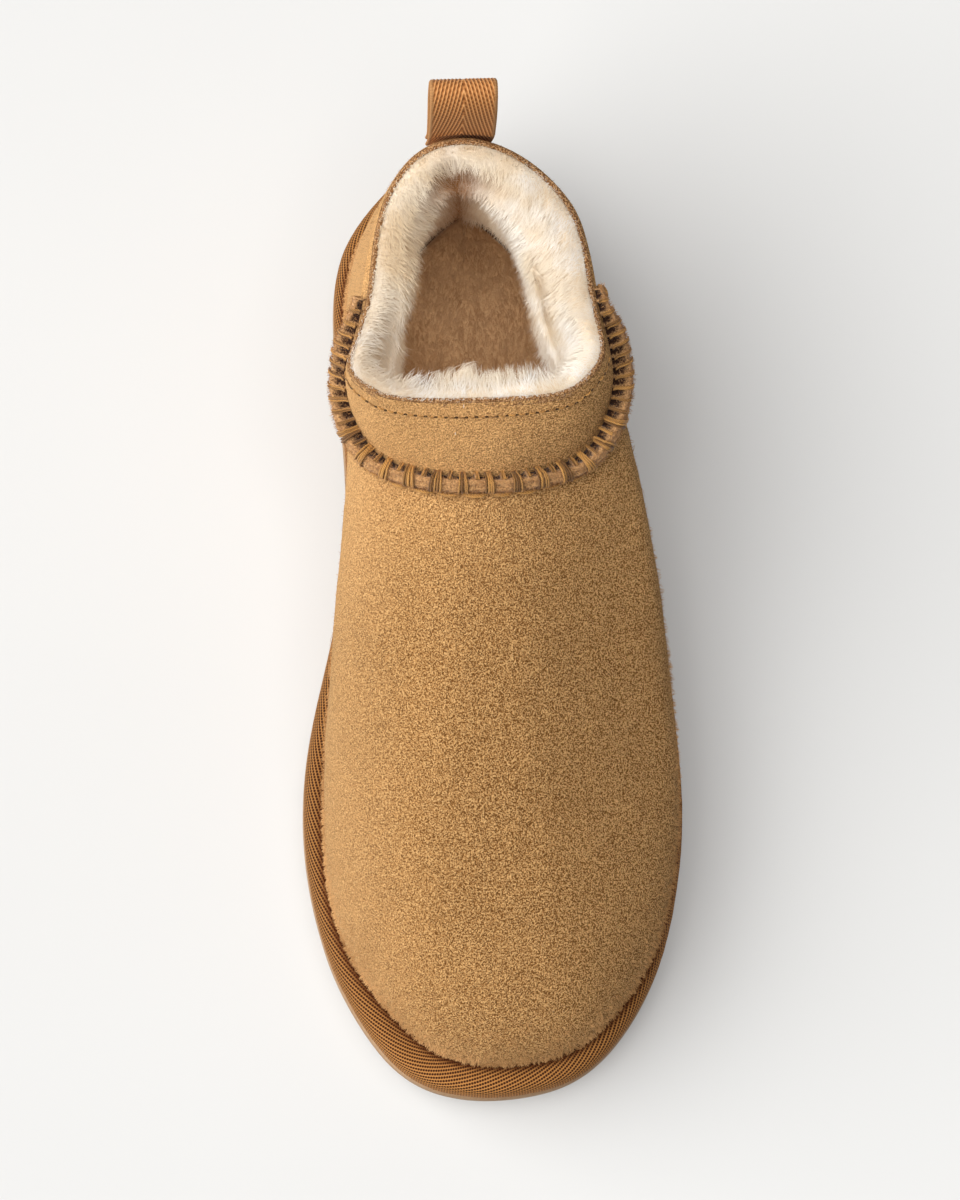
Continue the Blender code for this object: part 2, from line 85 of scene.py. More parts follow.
Section = namedtuple("Section", "side station margin wall out rise run drop seam rim")
SECTIONS = [Section(*row) for row in (
    (1, 0, 6.2, 12.5, 2, 25, 4, 28, (-3.0, 14.0, 109.5), (-3.8, 14.6, 112.0)),
    (1, 14, 6.4, 12.5, 1.2, 25, 3, 28, (15.2, 20.6, 108.7), (15.4, 21.2, 111.0)),
    (1, 40, 4.4, 12.0, 2.6, 26, 2.2, 26, (28.0, 36.2, 106.4), (27.8, 36.8, 108.8)),
    (1, 74, 3.8, 12.0, 5.5, 28, 4, 22, (32.6, 57.2, 103.0), (31.4, 56.0, 105.4)),
    (1, 112, 3.4, 11.0, 7, 30, 12, 20, (36.8, 73.6, 88.0), (33.8, 69.0, 103.5)),
    (1, 168, 3.2, 10.0, 5.5, 28, 32, 28, (34.0, 87.4, 79.5), (30.4, 77.4, 102.6)),
    (1, 218, 3.2, 9.5, 5.5, 27, 62, 30, (26.0, 96.4, 78.5), (22.4, 82.4, 102.0)),
    (1, 246, 5.9, 9.0, 7, 30, 86, 25, (13.8, 100.5, 81.6), (11.2, 83.6, 101.8)),
    (1, 264, 9.2, 9.0, 8, 33, 96, 19, (0.5, 101.6, 83.6), (-0.4, 83.8, 101.8)),
    (-1, 246, 8.8, 9.0, 7, 32, 88, 20, (-12.8, 100.3, 83.0), (-12.0, 83.6, 101.8)),
    (-1, 218, 5.4, 9.5, 5, 30, 64, 22, (-24.2, 96.0, 81.0), (-23.0, 82.4, 102.0)),
    (-1, 172, 6.6, 10.0, 4.8, 30, 34, 24, (-31.6, 87.2, 81.0), (-31.0, 78.8, 102.6)),
    (-1, 120, 3.4, 11.0, 6, 30, 13, 20, (-34.2, 74.4, 88.0), (-34.6, 71.6, 103.5)),
    (-1, 78, 3.4, 12.0, 5, 28, 5, 22, (-31.2, 58.2, 103.0), (-29.6, 57.0, 105.4)),
    (-1, 42, 3.8, 12.0, 2.6, 26, 2.6, 26, (-26.8, 36.8, 106.4), (-26.2, 37.4, 108.8)),
    (-1, 14, 6.4, 12.5, 1.2, 25, 3, 28, (-18.2, 20.9, 108.7), (-18.6, 21.7, 111.0)),
)]
RIDGE_ENDS = (3, 13)        # the sections at which the raised seam starts and ends


# ---- curves ----
def spline(knots, values, samples, period=None):
    """Cubic spline through values at knots, natural at its ends or closed with a period."""
    knots = np.asarray(knots, float)
    values = np.asarray(values, float)
    samples = np.asarray(samples, float)
    if period is not None:
        knots = np.append(knots, knots[0] + period)
        values = np.append(values, values[0])
        samples = knots[0] + np.mod(samples - knots[0], period)
    steps = np.diff(knots)
    slopes = np.diff(values) / steps
    count = len(knots)
    matrix = np.eye(count)
    right = np.zeros(count)
    for i in range(1, count - 1):
        matrix[i, i - 1:i + 2] = (steps[i - 1], 2 * (steps[i - 1] + steps[i]), steps[i])
        right[i] = 6 * (slopes[i] - slopes[i - 1])
    if period is not None:
        matrix[0, -1] = -1
        matrix[-1, :] = 0
        matrix[-1, [0, 1, -2]] = (2 * (steps[-1] + steps[0]), steps[0], steps[-1])
        right[-1] = 6 * (slopes[0] - slopes[-1])
    bends = np.linalg.solve(matrix, right)
    at = np.clip(np.searchsorted(knots, samples, side="right") - 1, 0, count - 2)
    left = (knots[at + 1] - samples) / steps[at]
    rest = 1 - left
    curve = (left ** 3 - left) * bends[at] + (rest ** 3 - rest) * bends[at + 1]
    return left * values[at] + rest * values[at + 1] + curve * steps[at] ** 2 / 6


def ease(value, low, high):
    """0 at low, 1 at high, and smooth between."""
    share = np.clip((value - low) / (high - low), 0, 1)
    return share * share * (3 - 2 * share)


def bell(value, width):
    return np.exp(-(value / width) ** 2)


def unit(vectors):
    return vectors / np.maximum(np.linalg.norm(vectors, axis=-1, keepdims=True), 1e-12)


def lengths_along(points):
    """Distance travelled along a row of points, from 0."""
    steps = np.linalg.norm(np.diff(points, axis=0), axis=-1)
    return np.concatenate([[0.0], np.cumsum(steps)])


def at_travel(travel, values, wanted):
    """Values of a row of points at wanted distances along it."""
    return np.stack([np.interp(wanted, travel, values[:, axis]) for axis in range(3)], axis=-1)


def raised(plan, height):
    """Plan points with their heights."""
    return np.concatenate([plan, height[..., None]], axis=-1)


# ---- the sole's outline and heights ----
def ring_angles(count):
    return np.arange(count) * TURN / count


def angle_at(side, station):
    """Angle of a station on the lateral (1) or medial (-1) side, seen as on an ellipse."""
    angle = float(np.arccos(1 - 2 * station / SOLE_LENGTH))
    return angle if side > 0 else TURN - angle


def from_back(angles):
    """Angle from the heel's back, either way round: 0 to pi."""
    return np.minimum(angles, TURN - angles)


def sole_point(angles):
    """Plan points (x, station) on the sole's edge."""
    angles = np.mod(angles, TURN)
    around = from_back(angles)
    knots = [0.0, *(angle_at(1, row.station) for row in SOLE_OUTLINE), PI]
    medial = spline(knots, [0, *(row.medial for row in SOLE_OUTLINE), 0], around)
    lateral = spline(knots, [0, *(row.lateral for row in SOLE_OUTLINE), 0], around)
    across = np.where(angles <= PI, lateral, -medial)
    return np.stack([across, SOLE_LENGTH * (1 - np.cos(around)) / 2], axis=-1)


def outward(angles):
    """Unit plan normals of the sole's edge, pointing out."""
    tiny = 1e-3
    along = sole_point(angles + tiny) - sole_point(angles - tiny)
    return unit(np.stack([along[..., 1], -along[..., 0]], axis=-1))


def inset_outline(angles, inset):
    """Plan points at a distance inside the sole's edge, which the photo shows tighter at the toe."""
    edge = sole_point(angles)
    medial = ease(edge[..., 0], 5, -30)
    trim = ease(edge[..., 1], 222, 250) * (0.8 + 0.6 * medial)
    inset = np.broadcast_to(np.asarray(inset, float), np.shape(angles)) + trim
    return edge - outward(angles) * inset[..., None]


def toe_lift(station):
    """How far the toe springs up, for the whole sole."""
    return TOE_SPRING * np.clip((station - TOE_BREAK) / (SOLE_LENGTH - TOE_BREAK), 0, None) ** 2


def floor_height(station):
    """Height of the outsole's underside: flat at heel and forefoot, lifted between."""
    heel = np.clip((HEEL_BREAK - station) / HEEL_BREAK, 0, None)
    arch = np.clip((station - ARCH_SPAN[0]) / (ARCH_SPAN[1] - ARCH_SPAN[0]), 0, 1)
    return toe_lift(station) + HEEL_BEVEL * heel ** 2 + ARCH_LIFT * np.sin(PI * arch) ** 2


def platform_height(station):
    """Height of the midsole's top, on which upper and insole stand."""
    fall = ease(station, *PLATFORM_FALL)
    return HEEL_PLATFORM - (HEEL_PLATFORM - BALL_PLATFORM) * fall + toe_lift(station)


def band_height(station, share):
    """Height at a share of the tape-wrapped band, from its lower edge to its top."""
    return platform_height(station) - BAND_HEIGHT * (1 - share)


# ---- the upper's surface ----
SECTION_ANGLES = [angle_at(row.side, row.station) for row in SECTIONS]
RIDGE_START, RIDGE_STOP = (SECTION_ANGLES[end] for end in RIDGE_ENDS)


def column(name, angles, part=None):
    """One column of SECTIONS, smoothly interpolated round the foot."""
    values = [getattr(row, name) for row in SECTIONS]
    if part is not None:
        values = [value[part] for value in values]
    return spline(SECTION_ANGLES, values, angles, period=TURN)


def outer_point(angles, level):
    """Point (x, station, height) on the suede: level 0 at the sole, 1 at the seam, 2 at the rim."""
    angles, level = np.broadcast_arrays(np.asarray(angles, float), np.asarray(level, float))
    plan = inset_outline(angles, column("margin", angles))
    foot = raised(plan, platform_height(plan[..., 1]))
    seam = np.stack([column("seam", angles, part) for part in range(3)], axis=-1)
    rim = np.stack([column("rim", angles, part) for part in range(3)], axis=-1)

    near_foot = foot.copy()
    near_foot[..., :2] += outward(angles) * column("out", angles)[..., None]
    near_foot[..., 2] += column("rise", angles)
    near_seam = seam.copy()
    near_seam[..., :2] += unit(foot[..., :2] - seam[..., :2]) * column("run", angles)[..., None]
    near_seam[..., 2] -= column("drop", angles)

    up = np.clip(level, 0, 1)[..., None]
    rest = 1 - up
    panel = rest ** 3 * foot + 3 * rest ** 2 * up * near_foot
    panel = panel + 3 * rest * up ** 2 * near_seam + up ** 3 * seam
    over = np.clip(level - 1, 0, 1)[..., None]
    band = seam + (rim - seam) * over
    swell = BAND_BULGE * np.linalg.norm(rim - seam, axis=-1, keepdims=True)
    band[..., :2] += unit(rim[..., :2] - COLLAR_CENTRE) * swell * np.sin(PI * over)
    return np.where(level[..., None] <= 1, panel, band)


def outer_normal(angles, level):
    """Unit normals (x, station, height) of the suede, pointing out."""
    tiny = 1e-3
    level = np.clip(level, tiny, 2 - tiny)
    along = outer_point(angles + tiny, level) - outer_point(angles - tiny, level)
    up = outer_point(angles, level + tiny) - outer_point(angles, level - tiny)
    return unit(np.cross(along, up))


def wall_point(angles, level, share):
    """Point inside the wall: share 0 on the suede, 1 on the fleece's inner side."""
    outer = outer_point(angles, level)
    inward = outer * (1, 1, 0) - (*COLLAR_CENTRE, 0)
    turn = ease(np.asarray(level, float), 0.8, 2.0)[..., None]
    towards = unit(outer_normal(angles, level) * (1 - turn) + unit(inward) * turn)
    depth = column("wall", angles) * share
    return outer - towards * depth[..., None]


def placed(name, data):
    """A new object in the scene."""
    made = bpy.data.objects.new(name, data)
    bpy.context.scene.collection.objects.link(made)
    return made


def to_world(points):
    """(x, station, height) in millimetres to the frame's (x, y, z) in metres."""
    x, station, height = np.moveaxis(np.asarray(points, float), -1, 0)
    return np.stack([x * MM + AXIS_X, HEEL_Y - station * MM, height * MM], axis=-1)


def new_piece(name, points, faces, material, uv=None, tone=None):
    """A piece from arrays: points in shoe coordinates, faces as rows of corners, uv per corner.

    to_world mirrors the shoe, so each face's corners are taken in the opposite order.
    Every piece rides on the one body.
    """
    mesh = bpy.data.meshes.new(name)
    vertices = to_world(points).astype(np.float32).reshape(-1, 3)
    faces = np.asarray(faces, np.int32)[:, ::-1]
    sides = faces.shape[1]
    mesh.vertices.add(len(vertices))
    mesh.vertices.foreach_set("co", vertices.ravel())
    mesh.loops.add(faces.size)
    mesh.loops.foreach_set("vertex_index", faces.ravel())
    mesh.polygons.add(len(faces))
    mesh.polygons.foreach_set("loop_start", np.arange(0, faces.size, sides, dtype=np.int32))
    mesh.update(calc_edges=True)
    if uv is not None:
        corners = np.asarray(uv, np.float32).reshape(-1, sides, 2)[:, ::-1]
        mesh.uv_layers.new(name="weave").uv.foreach_set("vector", corners.ravel())
    if tone is not None:
        attribute = mesh.attributes.new("tone", "FLOAT", "POINT")
        attribute.data.foreach_set("value", np.asarray(tone, np.float32).ravel())
    mesh.shade_smooth()
    mesh.materials.append(material)
    piece = placed(name, mesh)
    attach(piece, "root")
    return piece


def grid_faces(rows, columns, wrap=True):
    """Quads between neighbouring rows and columns of points, closed round each row or not."""
    row, here = np.mgrid[0:rows - 1, 0:columns if wrap else columns - 1]
    there = (here + 1) % columns
    first = row * columns
    quads = [first + here, first + there, first + columns + there, first + columns + here]
    return np.stack(quads, axis=-1).reshape(-1, 4)


def grid_uv(along, across):
    """UV of each quad's corners on a ring: along has one more column than the ring."""
    row, here = np.mgrid[0:along.shape[0] - 1, 0:along.shape[1] - 1]
    picks = [(row, here), (row, here + 1), (row + 1, here + 1), (row + 1, here)]
    pairs = [np.stack([along[pick], across[pick]], axis=-1) for pick in picks]
    return np.stack(pairs, axis=2).reshape(-1, 2)


def strip_cap(columns, first):
    """Quads across a closed ring, joining points at equal stations on its two sides."""
    here = np.arange(columns // 2 - 1)
    there = columns - 1 - here
    return first + np.stack([here, there, there - 1, here + 1], axis=-1)


def ring_piece(name, rings, material, uv=None, tone=None, cap_first=False, cap_last=False):
    """A piece of closed rings, one per row, whose open ends may be closed by strips."""
    rows, columns, _ = rings.shape
    faces = [grid_faces(rows, columns)]
    if cap_first:
        faces.append(strip_cap(columns, 0))
    if cap_last:
        faces.append(strip_cap(columns, (rows - 1) * columns)[:, ::-1])
    faces = np.concatenate(faces)
    if uv is not None:
        uv = np.concatenate([uv, np.zeros((faces.size - len(uv), 2))])
    return new_piece(name, rings, faces, material, uv, tone)


TUBE_SIDES = 6


def tube(path, radius):
    """Vertices and quads of a tube along a path of points, open at its ends."""
    along = unit(np.gradient(path, axis=0))
    side = np.zeros_like(path)
    reference = (0.0, 0.0, 1.0) if abs(along[0, 2]) < 0.8 else (1.0, 0.0, 0.0)
    side[0] = unit(np.cross(along[0], reference))
    for i in range(1, len(path)):
        side[i] = unit(side[i - 1] - along[i] * (side[i - 1] @ along[i]))
    turn = ring_angles(TUBE_SIDES)[:, None]
    ring = side[:, None] * np.cos(turn) + np.cross(along, side)[:, None] * np.sin(turn)
    return (path[:, None] + ring * radius).reshape(-1, 3), grid_faces(len(path), TUBE_SIDES)


def joined(name, shapes, material, tones):
    """One piece from many (vertices, quads), each with its own tone."""
    counts = np.cumsum([0] + [len(points) for points, _ in shapes[:-1]])
    faces = np.concatenate([quads + first for (_, quads), first in zip(shapes, counts)])
    tone = np.concatenate([np.full(len(points), one) for (points, _), one in zip(shapes, tones)])
    return new_piece(name, np.concatenate([points for points, _ in shapes]), faces, material, tone=tone)


# ---- materials ----
WHITE = (1.0, 1.0, 1.0, 1.0)


def srgb(red, green, blue):
    """A display colour from 0 to 255 as linear light, with alpha."""
    shares = np.array([red, green, blue]) / 255
    linear = np.where(shares <= 0.04045, shares / 12.92, ((shares + 0.055) / 1.055) ** 2.4)
    return (*[float(value) for value in linear], 1.0)


def node(tree, kind, values=None, links=None, **settings):
    """A shader node: settings are its properties, values and links go to its sockets."""
    made = tree.nodes.new("ShaderNode" + kind)
    for key, value in settings.items():
        setattr(made, key, value)
    for key, value in (values or {}).items():
        made.inputs[key].default_value = value
    for key, source in (links or {}).items():
        tree.links.new(source, made.inputs[key])
    return made


class Look:
    """A Principled material: where is a point's place in millimetres, and tone its own tone."""

    def __init__(self, name, slot, roughness, gloss, sheen=0.0, sheen_roughness=0.5, sheen_tint=WHITE):
        self.material = bpy.data.materials.new(name)
        self.material.use_nodes = True
        self.tree = self.material.node_tree
        self.shader = self.tree.nodes["Principled BSDF"]
        self.set("Roughness", roughness)
        self.set("Specular IOR Level", gloss)
        self.set("Sheen Weight", sheen)
        self.set("Sheen Roughness", sheen_roughness)
        self.set("Sheen Tint", sheen_tint)
        place = self.node("TexCoord").outputs["Object"]
        self.where = self.node(
            "VectorMath", {"Scale": 1 / MM}, {0: place}, operation="SCALE").outputs[0]
        self.tone = self.node("Attribute", attribute_name="tone").outputs["Fac"]

    def set(self, name, value):
        self.shader.inputs[name].default_value = value

    def link(self, name, source):
        self.tree.links.new(source, self.shader.inputs[name])

    def node(self, kind, values=None, links=None, **settings):
        return node(self.tree, kind, values, links, **settings)

    def fill(self, sockets, values):
        """Numbers, colours or other nodes' outputs for a node's sockets."""
        for socket, value in zip(sockets, values):
            if isinstance(value, bpy.types.NodeSocket):
                self.tree.links.new(value, socket)
            else:
                socket.default_value = value

    def math(self, operation, *values):
        made = self.node("Math", operation=operation)
        self.fill(made.inputs, values)
        return made.outputs[0]

    def times(self, first, second):
        return self.math("MULTIPLY", first, second)

    def rest(self, value):
        """1 less a value."""
        return self.math("SUBTRACT", 1.0, value)

    def part(self, vector, axis):
        return self.node("SeparateXYZ", links={0: vector}).outputs[axis]

    def mapped(self, value, from_low, from_high, low=0.0, high=1.0):
        """A value brought from one range to another, and kept within it."""
        values = {"From Min": from_low, "From Max": from_high, "To Min": low, "To Max": high}
        return self.node("MapRange", values, {"Value": value}).outputs[0]

    def wave(self, turns):
        """A wave from 0 to 1, once for each whole turn."""
        return self.math("MULTIPLY_ADD", self.math("SINE", self.times(turns, TURN)), 0.5, 0.5)

    def grains(self, size, detail=2.0, roughness=0.6, distortion=0.0):
        """Noise from 0 to 1 with grains of a size in millimetres."""
        values = {"Scale": 1 / size, "Detail": detail, "Roughness": roughness, "Distortion": distortion}
        return self.node("TexNoise", values, {"Vector": self.where}).outputs["Fac"]

    def ramp(self, source, *stops):
        """Colours at positions from 0 to 1."""
        made = self.node("ValToRGB", links={"Fac": source})
        line = made.color_ramp.elements
        while len(line) < len(stops):
            line.new(0.5)
        for element, (position, colour) in zip(line, stops):
            element.position = position
            element.color = colour
        return made.outputs["Color"]

    def tinted(self, first, second):
        """One colour multiplied by another."""
        return self.node("VectorMath", links={0: first, 1: second}, operation="MULTIPLY").outputs[0]

    def shade(self, colour, value, low, high):
        """A colour made darker or lighter by a number from 0 to 1."""
        return self.tinted(colour, self.mapped(value, 0.0, 1.0, low, high))

    def mottled(self, colour, size, low, high, detail=2.0):
        return self.shade(colour, self.grains(size, detail), low, high)

    def mix(self, share, first, second):
        """A colour between two."""
        made = self.node("Mix", data_type="RGBA", blend_type="MIX")
        self.fill([made.inputs[0], made.inputs[6], made.inputs[7]], [share, first, second])
        return made.outputs[2]

    def weave(self):
        """Places on a woven strip in millimetres, from its UV map."""
        return self.node("UVMap", uv_map="weave").outputs["UV"]

    def dashed(self, groove, row, along, pitch, shift, depth):
        """A groove between yarns, broken into dashes that are set off from row to row."""
        offset = self.times(self.math("FLOOR", row), shift)
        dash = self.math("ADD", self.math("DIVIDE", along, pitch), offset)
        return self.times(groove, self.math("MULTIPLY_ADD", self.wave(dash), depth, 1 - depth))

    def finish(self, colour, height=None, depth=0.0, strength=1.0):
        """The material in a colour, with bumps of a depth in millimetres."""
        self.link("Base Color", colour)
        if height is not None:
            values = {"Strength": strength, "Distance": depth * MM}
            self.link("Normal", self.node("Bump", values, {"Height": height}).outputs["Normal"])
        return self.material


TONE_LIGHTENING = 1.38              # how much lighter the suede is at tone 1, a tone that holds painted light and shade
# the pale nap of the painted highlight on the medial side, also mixed in a little by tone
PALE_NAP = srgb(228, 190, 142)
# the colour of the fibres' painted glow
PAINTED_GLOW_COLOUR = srgb(255, 226, 194)
RIB_PITCH = 0.98            # the webbing's ribs, how they slope, and its dashes
RIB_SLOPE = -0.32
DASH_PITCH = 1.4

# Ranges over which looks change, as x or y in the frame in millimetres.
SUEDE_PIT_SHADE_X = (-45.0, 40.0)      # the painted shade in the suede's pits grows stronger
SUEDE_LIT_SIDE_X = (-50.0, -24.0)       # its painted highlight on the medial side, towards the key light, comes to an end
FIBRE_SIDE_X = (-24.0, 20.0)        # the medial tips' painted warm shade gives way to the usual colour
FIBRE_FRONT_Y = (80.0, 60.0)        # fibres take on the front's colours, which are painted light
TAPE_SIDE_X = (-52.0, -15.0)        # the painted shadow on the tape's medial side comes to an end
TAPE_SHADE_ACROSS = (5.0, 10.0)             # across the tape, from its outer edge with fainter gaps to its painted shade towards the suede


def suede(name, slot, dark, middle, light):
    """Brushed suede: fine nap with pits whose painted shade is stronger laterally, lighter by its tone.
    """
    look = Look(name, slot, 0.95, gloss=0.1, sheen=0.18, sheen_tint=srgb(242, 208, 156))
    nap = look.grains(0.41, roughness=0.5, distortion=0.45)
    across = look.part(look.where, "X")
    # painted shade: the pits' colour contrast grows towards the lateral side, away from the key light
    pit_shade_gain = look.mapped(across, *SUEDE_PIT_SHADE_X, 0.55, 1.8)
    relief = look.times(look.math("SUBTRACT", nap, 0.5), pit_shade_gain)
    relief = look.times(relief, look.math("MULTIPLY_ADD", look.tone, -0.45, 1.0))
    colour = look.ramp(look.math("ADD", relief, 0.5), (0.39, dark), (0.5, middle), (0.61, light))
    colour = look.mottled(colour, 30.0, 0.9, 1.1)
    colour = look.mottled(colour, 5.0, 0.96, 1.04)
    colour = look.shade(colour, look.tone, 1.0, TONE_LIGHTENING)
    # painted highlight: paler on the medial side, where the key light falls
    painted_shading = look.mapped(across, *SUEDE_LIT_SIDE_X, 0.17, 0.0)
    pale = look.math("MULTIPLY_ADD", look.tone, 0.13, painted_shading)
    return look.finish(look.mix(pale, colour, PALE_NAP), nap, 1.1)


def fibre(
        name, slot, root, tip, patch_dark, glow, patch=14.0, painted_glow=0.0,
        medial_tip=None, front_root=None, front_gain=1.0):
    """Soft fibres: darker at the root, lit through, in slowly changing shades.

    painted_glow is the strength of a painted warm glow: emission standing in for the light
    that wanders through a deep pile.
    medial_tip is the tips' colour on the medial side towards the heel, a painted warm shade;
    front_root is the roots' colour in front and front_gain how much lighter the fibres are there,
    both painted light.
    """
    look = Look(name, slot, 0.8, gloss=0.1, sheen=0.1, sheen_roughness=0.4)
    front = look.mapped(look.part(look.where, "Y"), *FIBRE_FRONT_Y)
    if medial_tip:
        side = look.mapped(look.part(look.where, "X"), *FIBRE_SIDE_X)
        tip = look.mix(look.math("MAXIMUM", side, front), medial_tip, tip)
        root = look.mix(front, root, front_root)
    look.set("Emission Strength", painted_glow)
    if painted_glow:
        look.link("Emission Color", look.mix(look.tone, root, PAINTED_GLOW_COLOUR))
    patches = look.ramp(look.grains(patch), (0.42, patch_dark), (0.6, WHITE))
    colour = look.tinted(look.mix(look.tone, root, tip), patches)
    colour = look.mottled(colour, 1.1, 0.94, 1.06, detail=1.0)
    colour = look.shade(colour, front, 1.0, front_gain)
    through = look.node("BsdfTranslucent", links={"Color": colour}).outputs[0]
    both = look.node("MixShader", {"Fac": glow}, {1: look.shader.outputs[0], 2: through})
    look.tree.links.new(both.outputs[0], look.tree.nodes["Material Output"].inputs["Surface"])
    return look.finish(colour)


def fuzzy(name, slot, dark, light, size, depth, patch=18.0, sheen=0.1, contrast=1.1):
    """A material between two shades, by its tone and by fine noise."""
    look = Look(name, slot, 0.95, gloss=0.2, sheen=sheen)
    fine = look.grains(size, 3.0)
    base = look.math("SUBTRACT", look.tone, 0.15 + contrast / 2)
    colour = look.mix(look.math("MULTIPLY_ADD", fine, contrast, base), dark, light)
    return look.finish(look.mottled(colour, patch, 0.9, 1.1), fine, depth, 0.8)


def woven_tape(name, slot, ridge, hollow, tuck_shadow, row_pitch, dash_pitch, slant):
    """Woven tape: slanted rows with small gaps, fainter at its outer edge; painted shade darkens it
    towards the suede, in its tuck and on its medial side.
    """
    look = Look(
        name, slot, 0.85, gloss=0.15, sheen=0.05, sheen_roughness=0.4, sheen_tint=srgb(235, 180, 120))
    slanted = {"Rotation": (0, 0, np.radians(slant))}
    turned = look.node("Mapping", slanted, {"Vector": look.weave()}).outputs[0]
    row = look.math("DIVIDE", look.part(turned, "Y"), row_pitch)
    gap = look.dashed(
        look.wave(row), look.math("ADD", row, 0.25), look.part(turned, "X"), dash_pitch, 0.37, 0.78)
    # painted shade: darker towards the suede; the gaps also grow fainter towards the outer edge
    painted_shading = look.mapped(look.part(look.weave(), "Y"), *TAPE_SHADE_ACROSS, 0.85, 1.0)
    gap = look.times(gap, painted_shading)
    colour = look.ramp(gap, (0.06, ridge), (0.42, hollow))
    colour = look.mottled(colour, 0.5, 0.86, 1.14)
    colour = look.mottled(colour, 12.0, 0.94, 1.06)
    # painted shadow on the medial side
    side = look.mapped(look.part(look.where, "X"), *TAPE_SIDE_X)
    colour = look.shade(colour, side, 0.7, 1.0)
    colour = look.shade(colour, painted_shading, 2.1, 0.76)
    # painted shadow in the tuck, by tone
    return look.finish(look.mix(look.tone, tuck_shadow, colour), look.rest(gap), 0.35, 0.9)


def webbing(name, slot, ridge, middle, hollow):
    """Herringbone webbing: dashed dark gaps between the ribs, plain at its edges by its tone."""
    look = Look(name, slot, 0.8, gloss=0.15, sheen=0.04, sheen_roughness=0.4)
    along = look.part(look.weave(), "X")
    rib = look.math("DIVIDE", look.part(look.weave(), "Y"), RIB_PITCH)
    gap = look.dashed(look.rest(look.wave(rib)), rib, along, DASH_PITCH, 0.4, 0.65)
    gap = look.times(gap, look.tone)
    colour = look.ramp(gap, (0.0, ridge), (0.14, middle), (0.8, hollow))
    selvage = look.rest(look.tone)
    yarns = look.times(look.wave(look.math("DIVIDE", along, 0.7)), selvage)
    colour = look.shade(colour, yarns, 1.0, 0.82)
    colour = look.shade(colour, selvage, 1.0, 0.6)
    colour = look.mottled(colour, 0.45, 0.86, 1.14)
    height = look.math("SUBTRACT", look.rest(gap), look.times(yarns, 0.4))
    return look.finish(colour, height, 0.25, 0.8)


def thread(name, slot, dark, light):
    """Twisted thread: fine slanted plies, a little gloss, and each strand its own shade."""
    look = Look(name, slot, 0.55, gloss=0.35, sheen=0.1)
    plies = look.node(
        "TexWave", {"Scale": 0.9, "Distortion": 1.5, "Detail": 1.0}, {"Vector": look.where},
        wave_type="BANDS", bands_direction="DIAGONAL").outputs["Fac"]
    colour = look.shade(look.mix(look.tone, dark, light), plies, 0.72, 1.15)
    return look.finish(colour, plies, 0.12, 0.8)


def rubber(name, slot, dark, light):
    """Foam rubber with fine cells and scuffs."""
    look = Look(name, slot, 0.62, gloss=0.35)
    cells = look.grains(0.7, 3.0)
    colour = look.mottled(look.ramp(cells, (0.3, dark), (0.7, light)), 22.0, 0.93, 1.07, detail=3.0)
    look.link("Roughness", look.mapped(look.grains(3.0, 4.0, 0.7), 0.3, 0.7, 0.5, 0.75))
    return look.finish(colour, cells, 0.12, 0.5)


SUEDE = suede("suede", "suede", srgb(112, 71, 30), srgb(180, 132, 79), srgb(217, 170, 112))
RAW_EDGE = suede(
    "raw_suede_edge", "seam_edge", srgb(112, 72, 42), srgb(160, 114, 72), srgb(204, 160, 114))
NAP = fibre(
    "suede_nap", "suede", srgb(140, 96, 52), srgb(205, 160, 108), srgb(225, 220, 214), 0.12)
FLEECE = fibre(
    "fleece", "fleece", srgb(150, 96, 38), srgb(240, 241, 240), srgb(246, 237, 222), 0.35,
    painted_glow=0.18, medial_tip=srgb(246, 239, 220), front_root=srgb(206, 172, 130))
FLEECE_BED = fibre(
    "fleece_ground", "fleece", srgb(138, 94, 50), srgb(230, 220, 204), srgb(246, 238, 226), 0.1,
    painted_glow=0.09)
# the pile's front_gain paints light on the footbed's front
PILE = fibre(
    "footbed_pile", "footbed_pile", srgb(190, 152, 112), srgb(206, 172, 135), srgb(240, 233, 225),
    0.2, 9.0, front_gain=1.22)
PILE_GROUND = fuzzy(
    "footbed_ground", "footbed_pile", srgb(170, 134, 97), srgb(203, 167, 126), 1.2, 0.4, 14.0, 0.2)
# its dark colour is the painted shade in the ridge's hollows and groove
RIDGE_EDGE = fuzzy(
    "ridge_edge", "seam_edge", srgb(52, 27, 11), srgb(204, 156, 104), 0.5, 0.8, sheen=0.15,
    contrast=2.6)
RIDGE_FUZZ = fibre(
    "ridge_fuzz", "seam_edge", srgb(136, 92, 52), srgb(216, 168, 118), srgb(236, 226, 216), 0.15)
# dark patches of painted shade where the needle holes are
NEEDLE_HOLE_SHADE = fuzzy("needle_hole_shade", "suede", srgb(40, 20, 8), srgb(84, 50, 24), 0.6, 0.1)
THREAD = thread("stitch_thread", "stitch_thread", srgb(68, 36, 11), srgb(200, 146, 76))
RUBBER = rubber("sole_rubber", "sole_rubber", srgb(146, 115, 84), srgb(166, 134, 101))
# its last colour is the painted shadow in the tuck
TAPE = woven_tape(
    "binding_tape", "binding_tape", srgb(202, 140, 76), srgb(68, 30, 8), srgb(82, 38, 11),
    row_pitch=1.0, dash_pitch=0.82, slant=19.0)
WEBBING = webbing(
    "loop_webbing", "loop_webbing", srgb(214, 156, 100), srgb(180, 120, 68), srgb(130, 78, 38))


# ---- surfaces, normals and scattered fibres ----
def wobble(points, size, seed=0.0):
    """Smooth noise from -1 to 1 at points in millimetres, with features of a size."""
    flat = np.asarray(points, float).reshape(-1, 3) / size + (17.3 * seed, 5.1 * seed, 9.7 * seed)
    values = np.array([noise.noise(point) for point in flat.tolist()])
    return values.reshape(np.shape(points)[:-1])


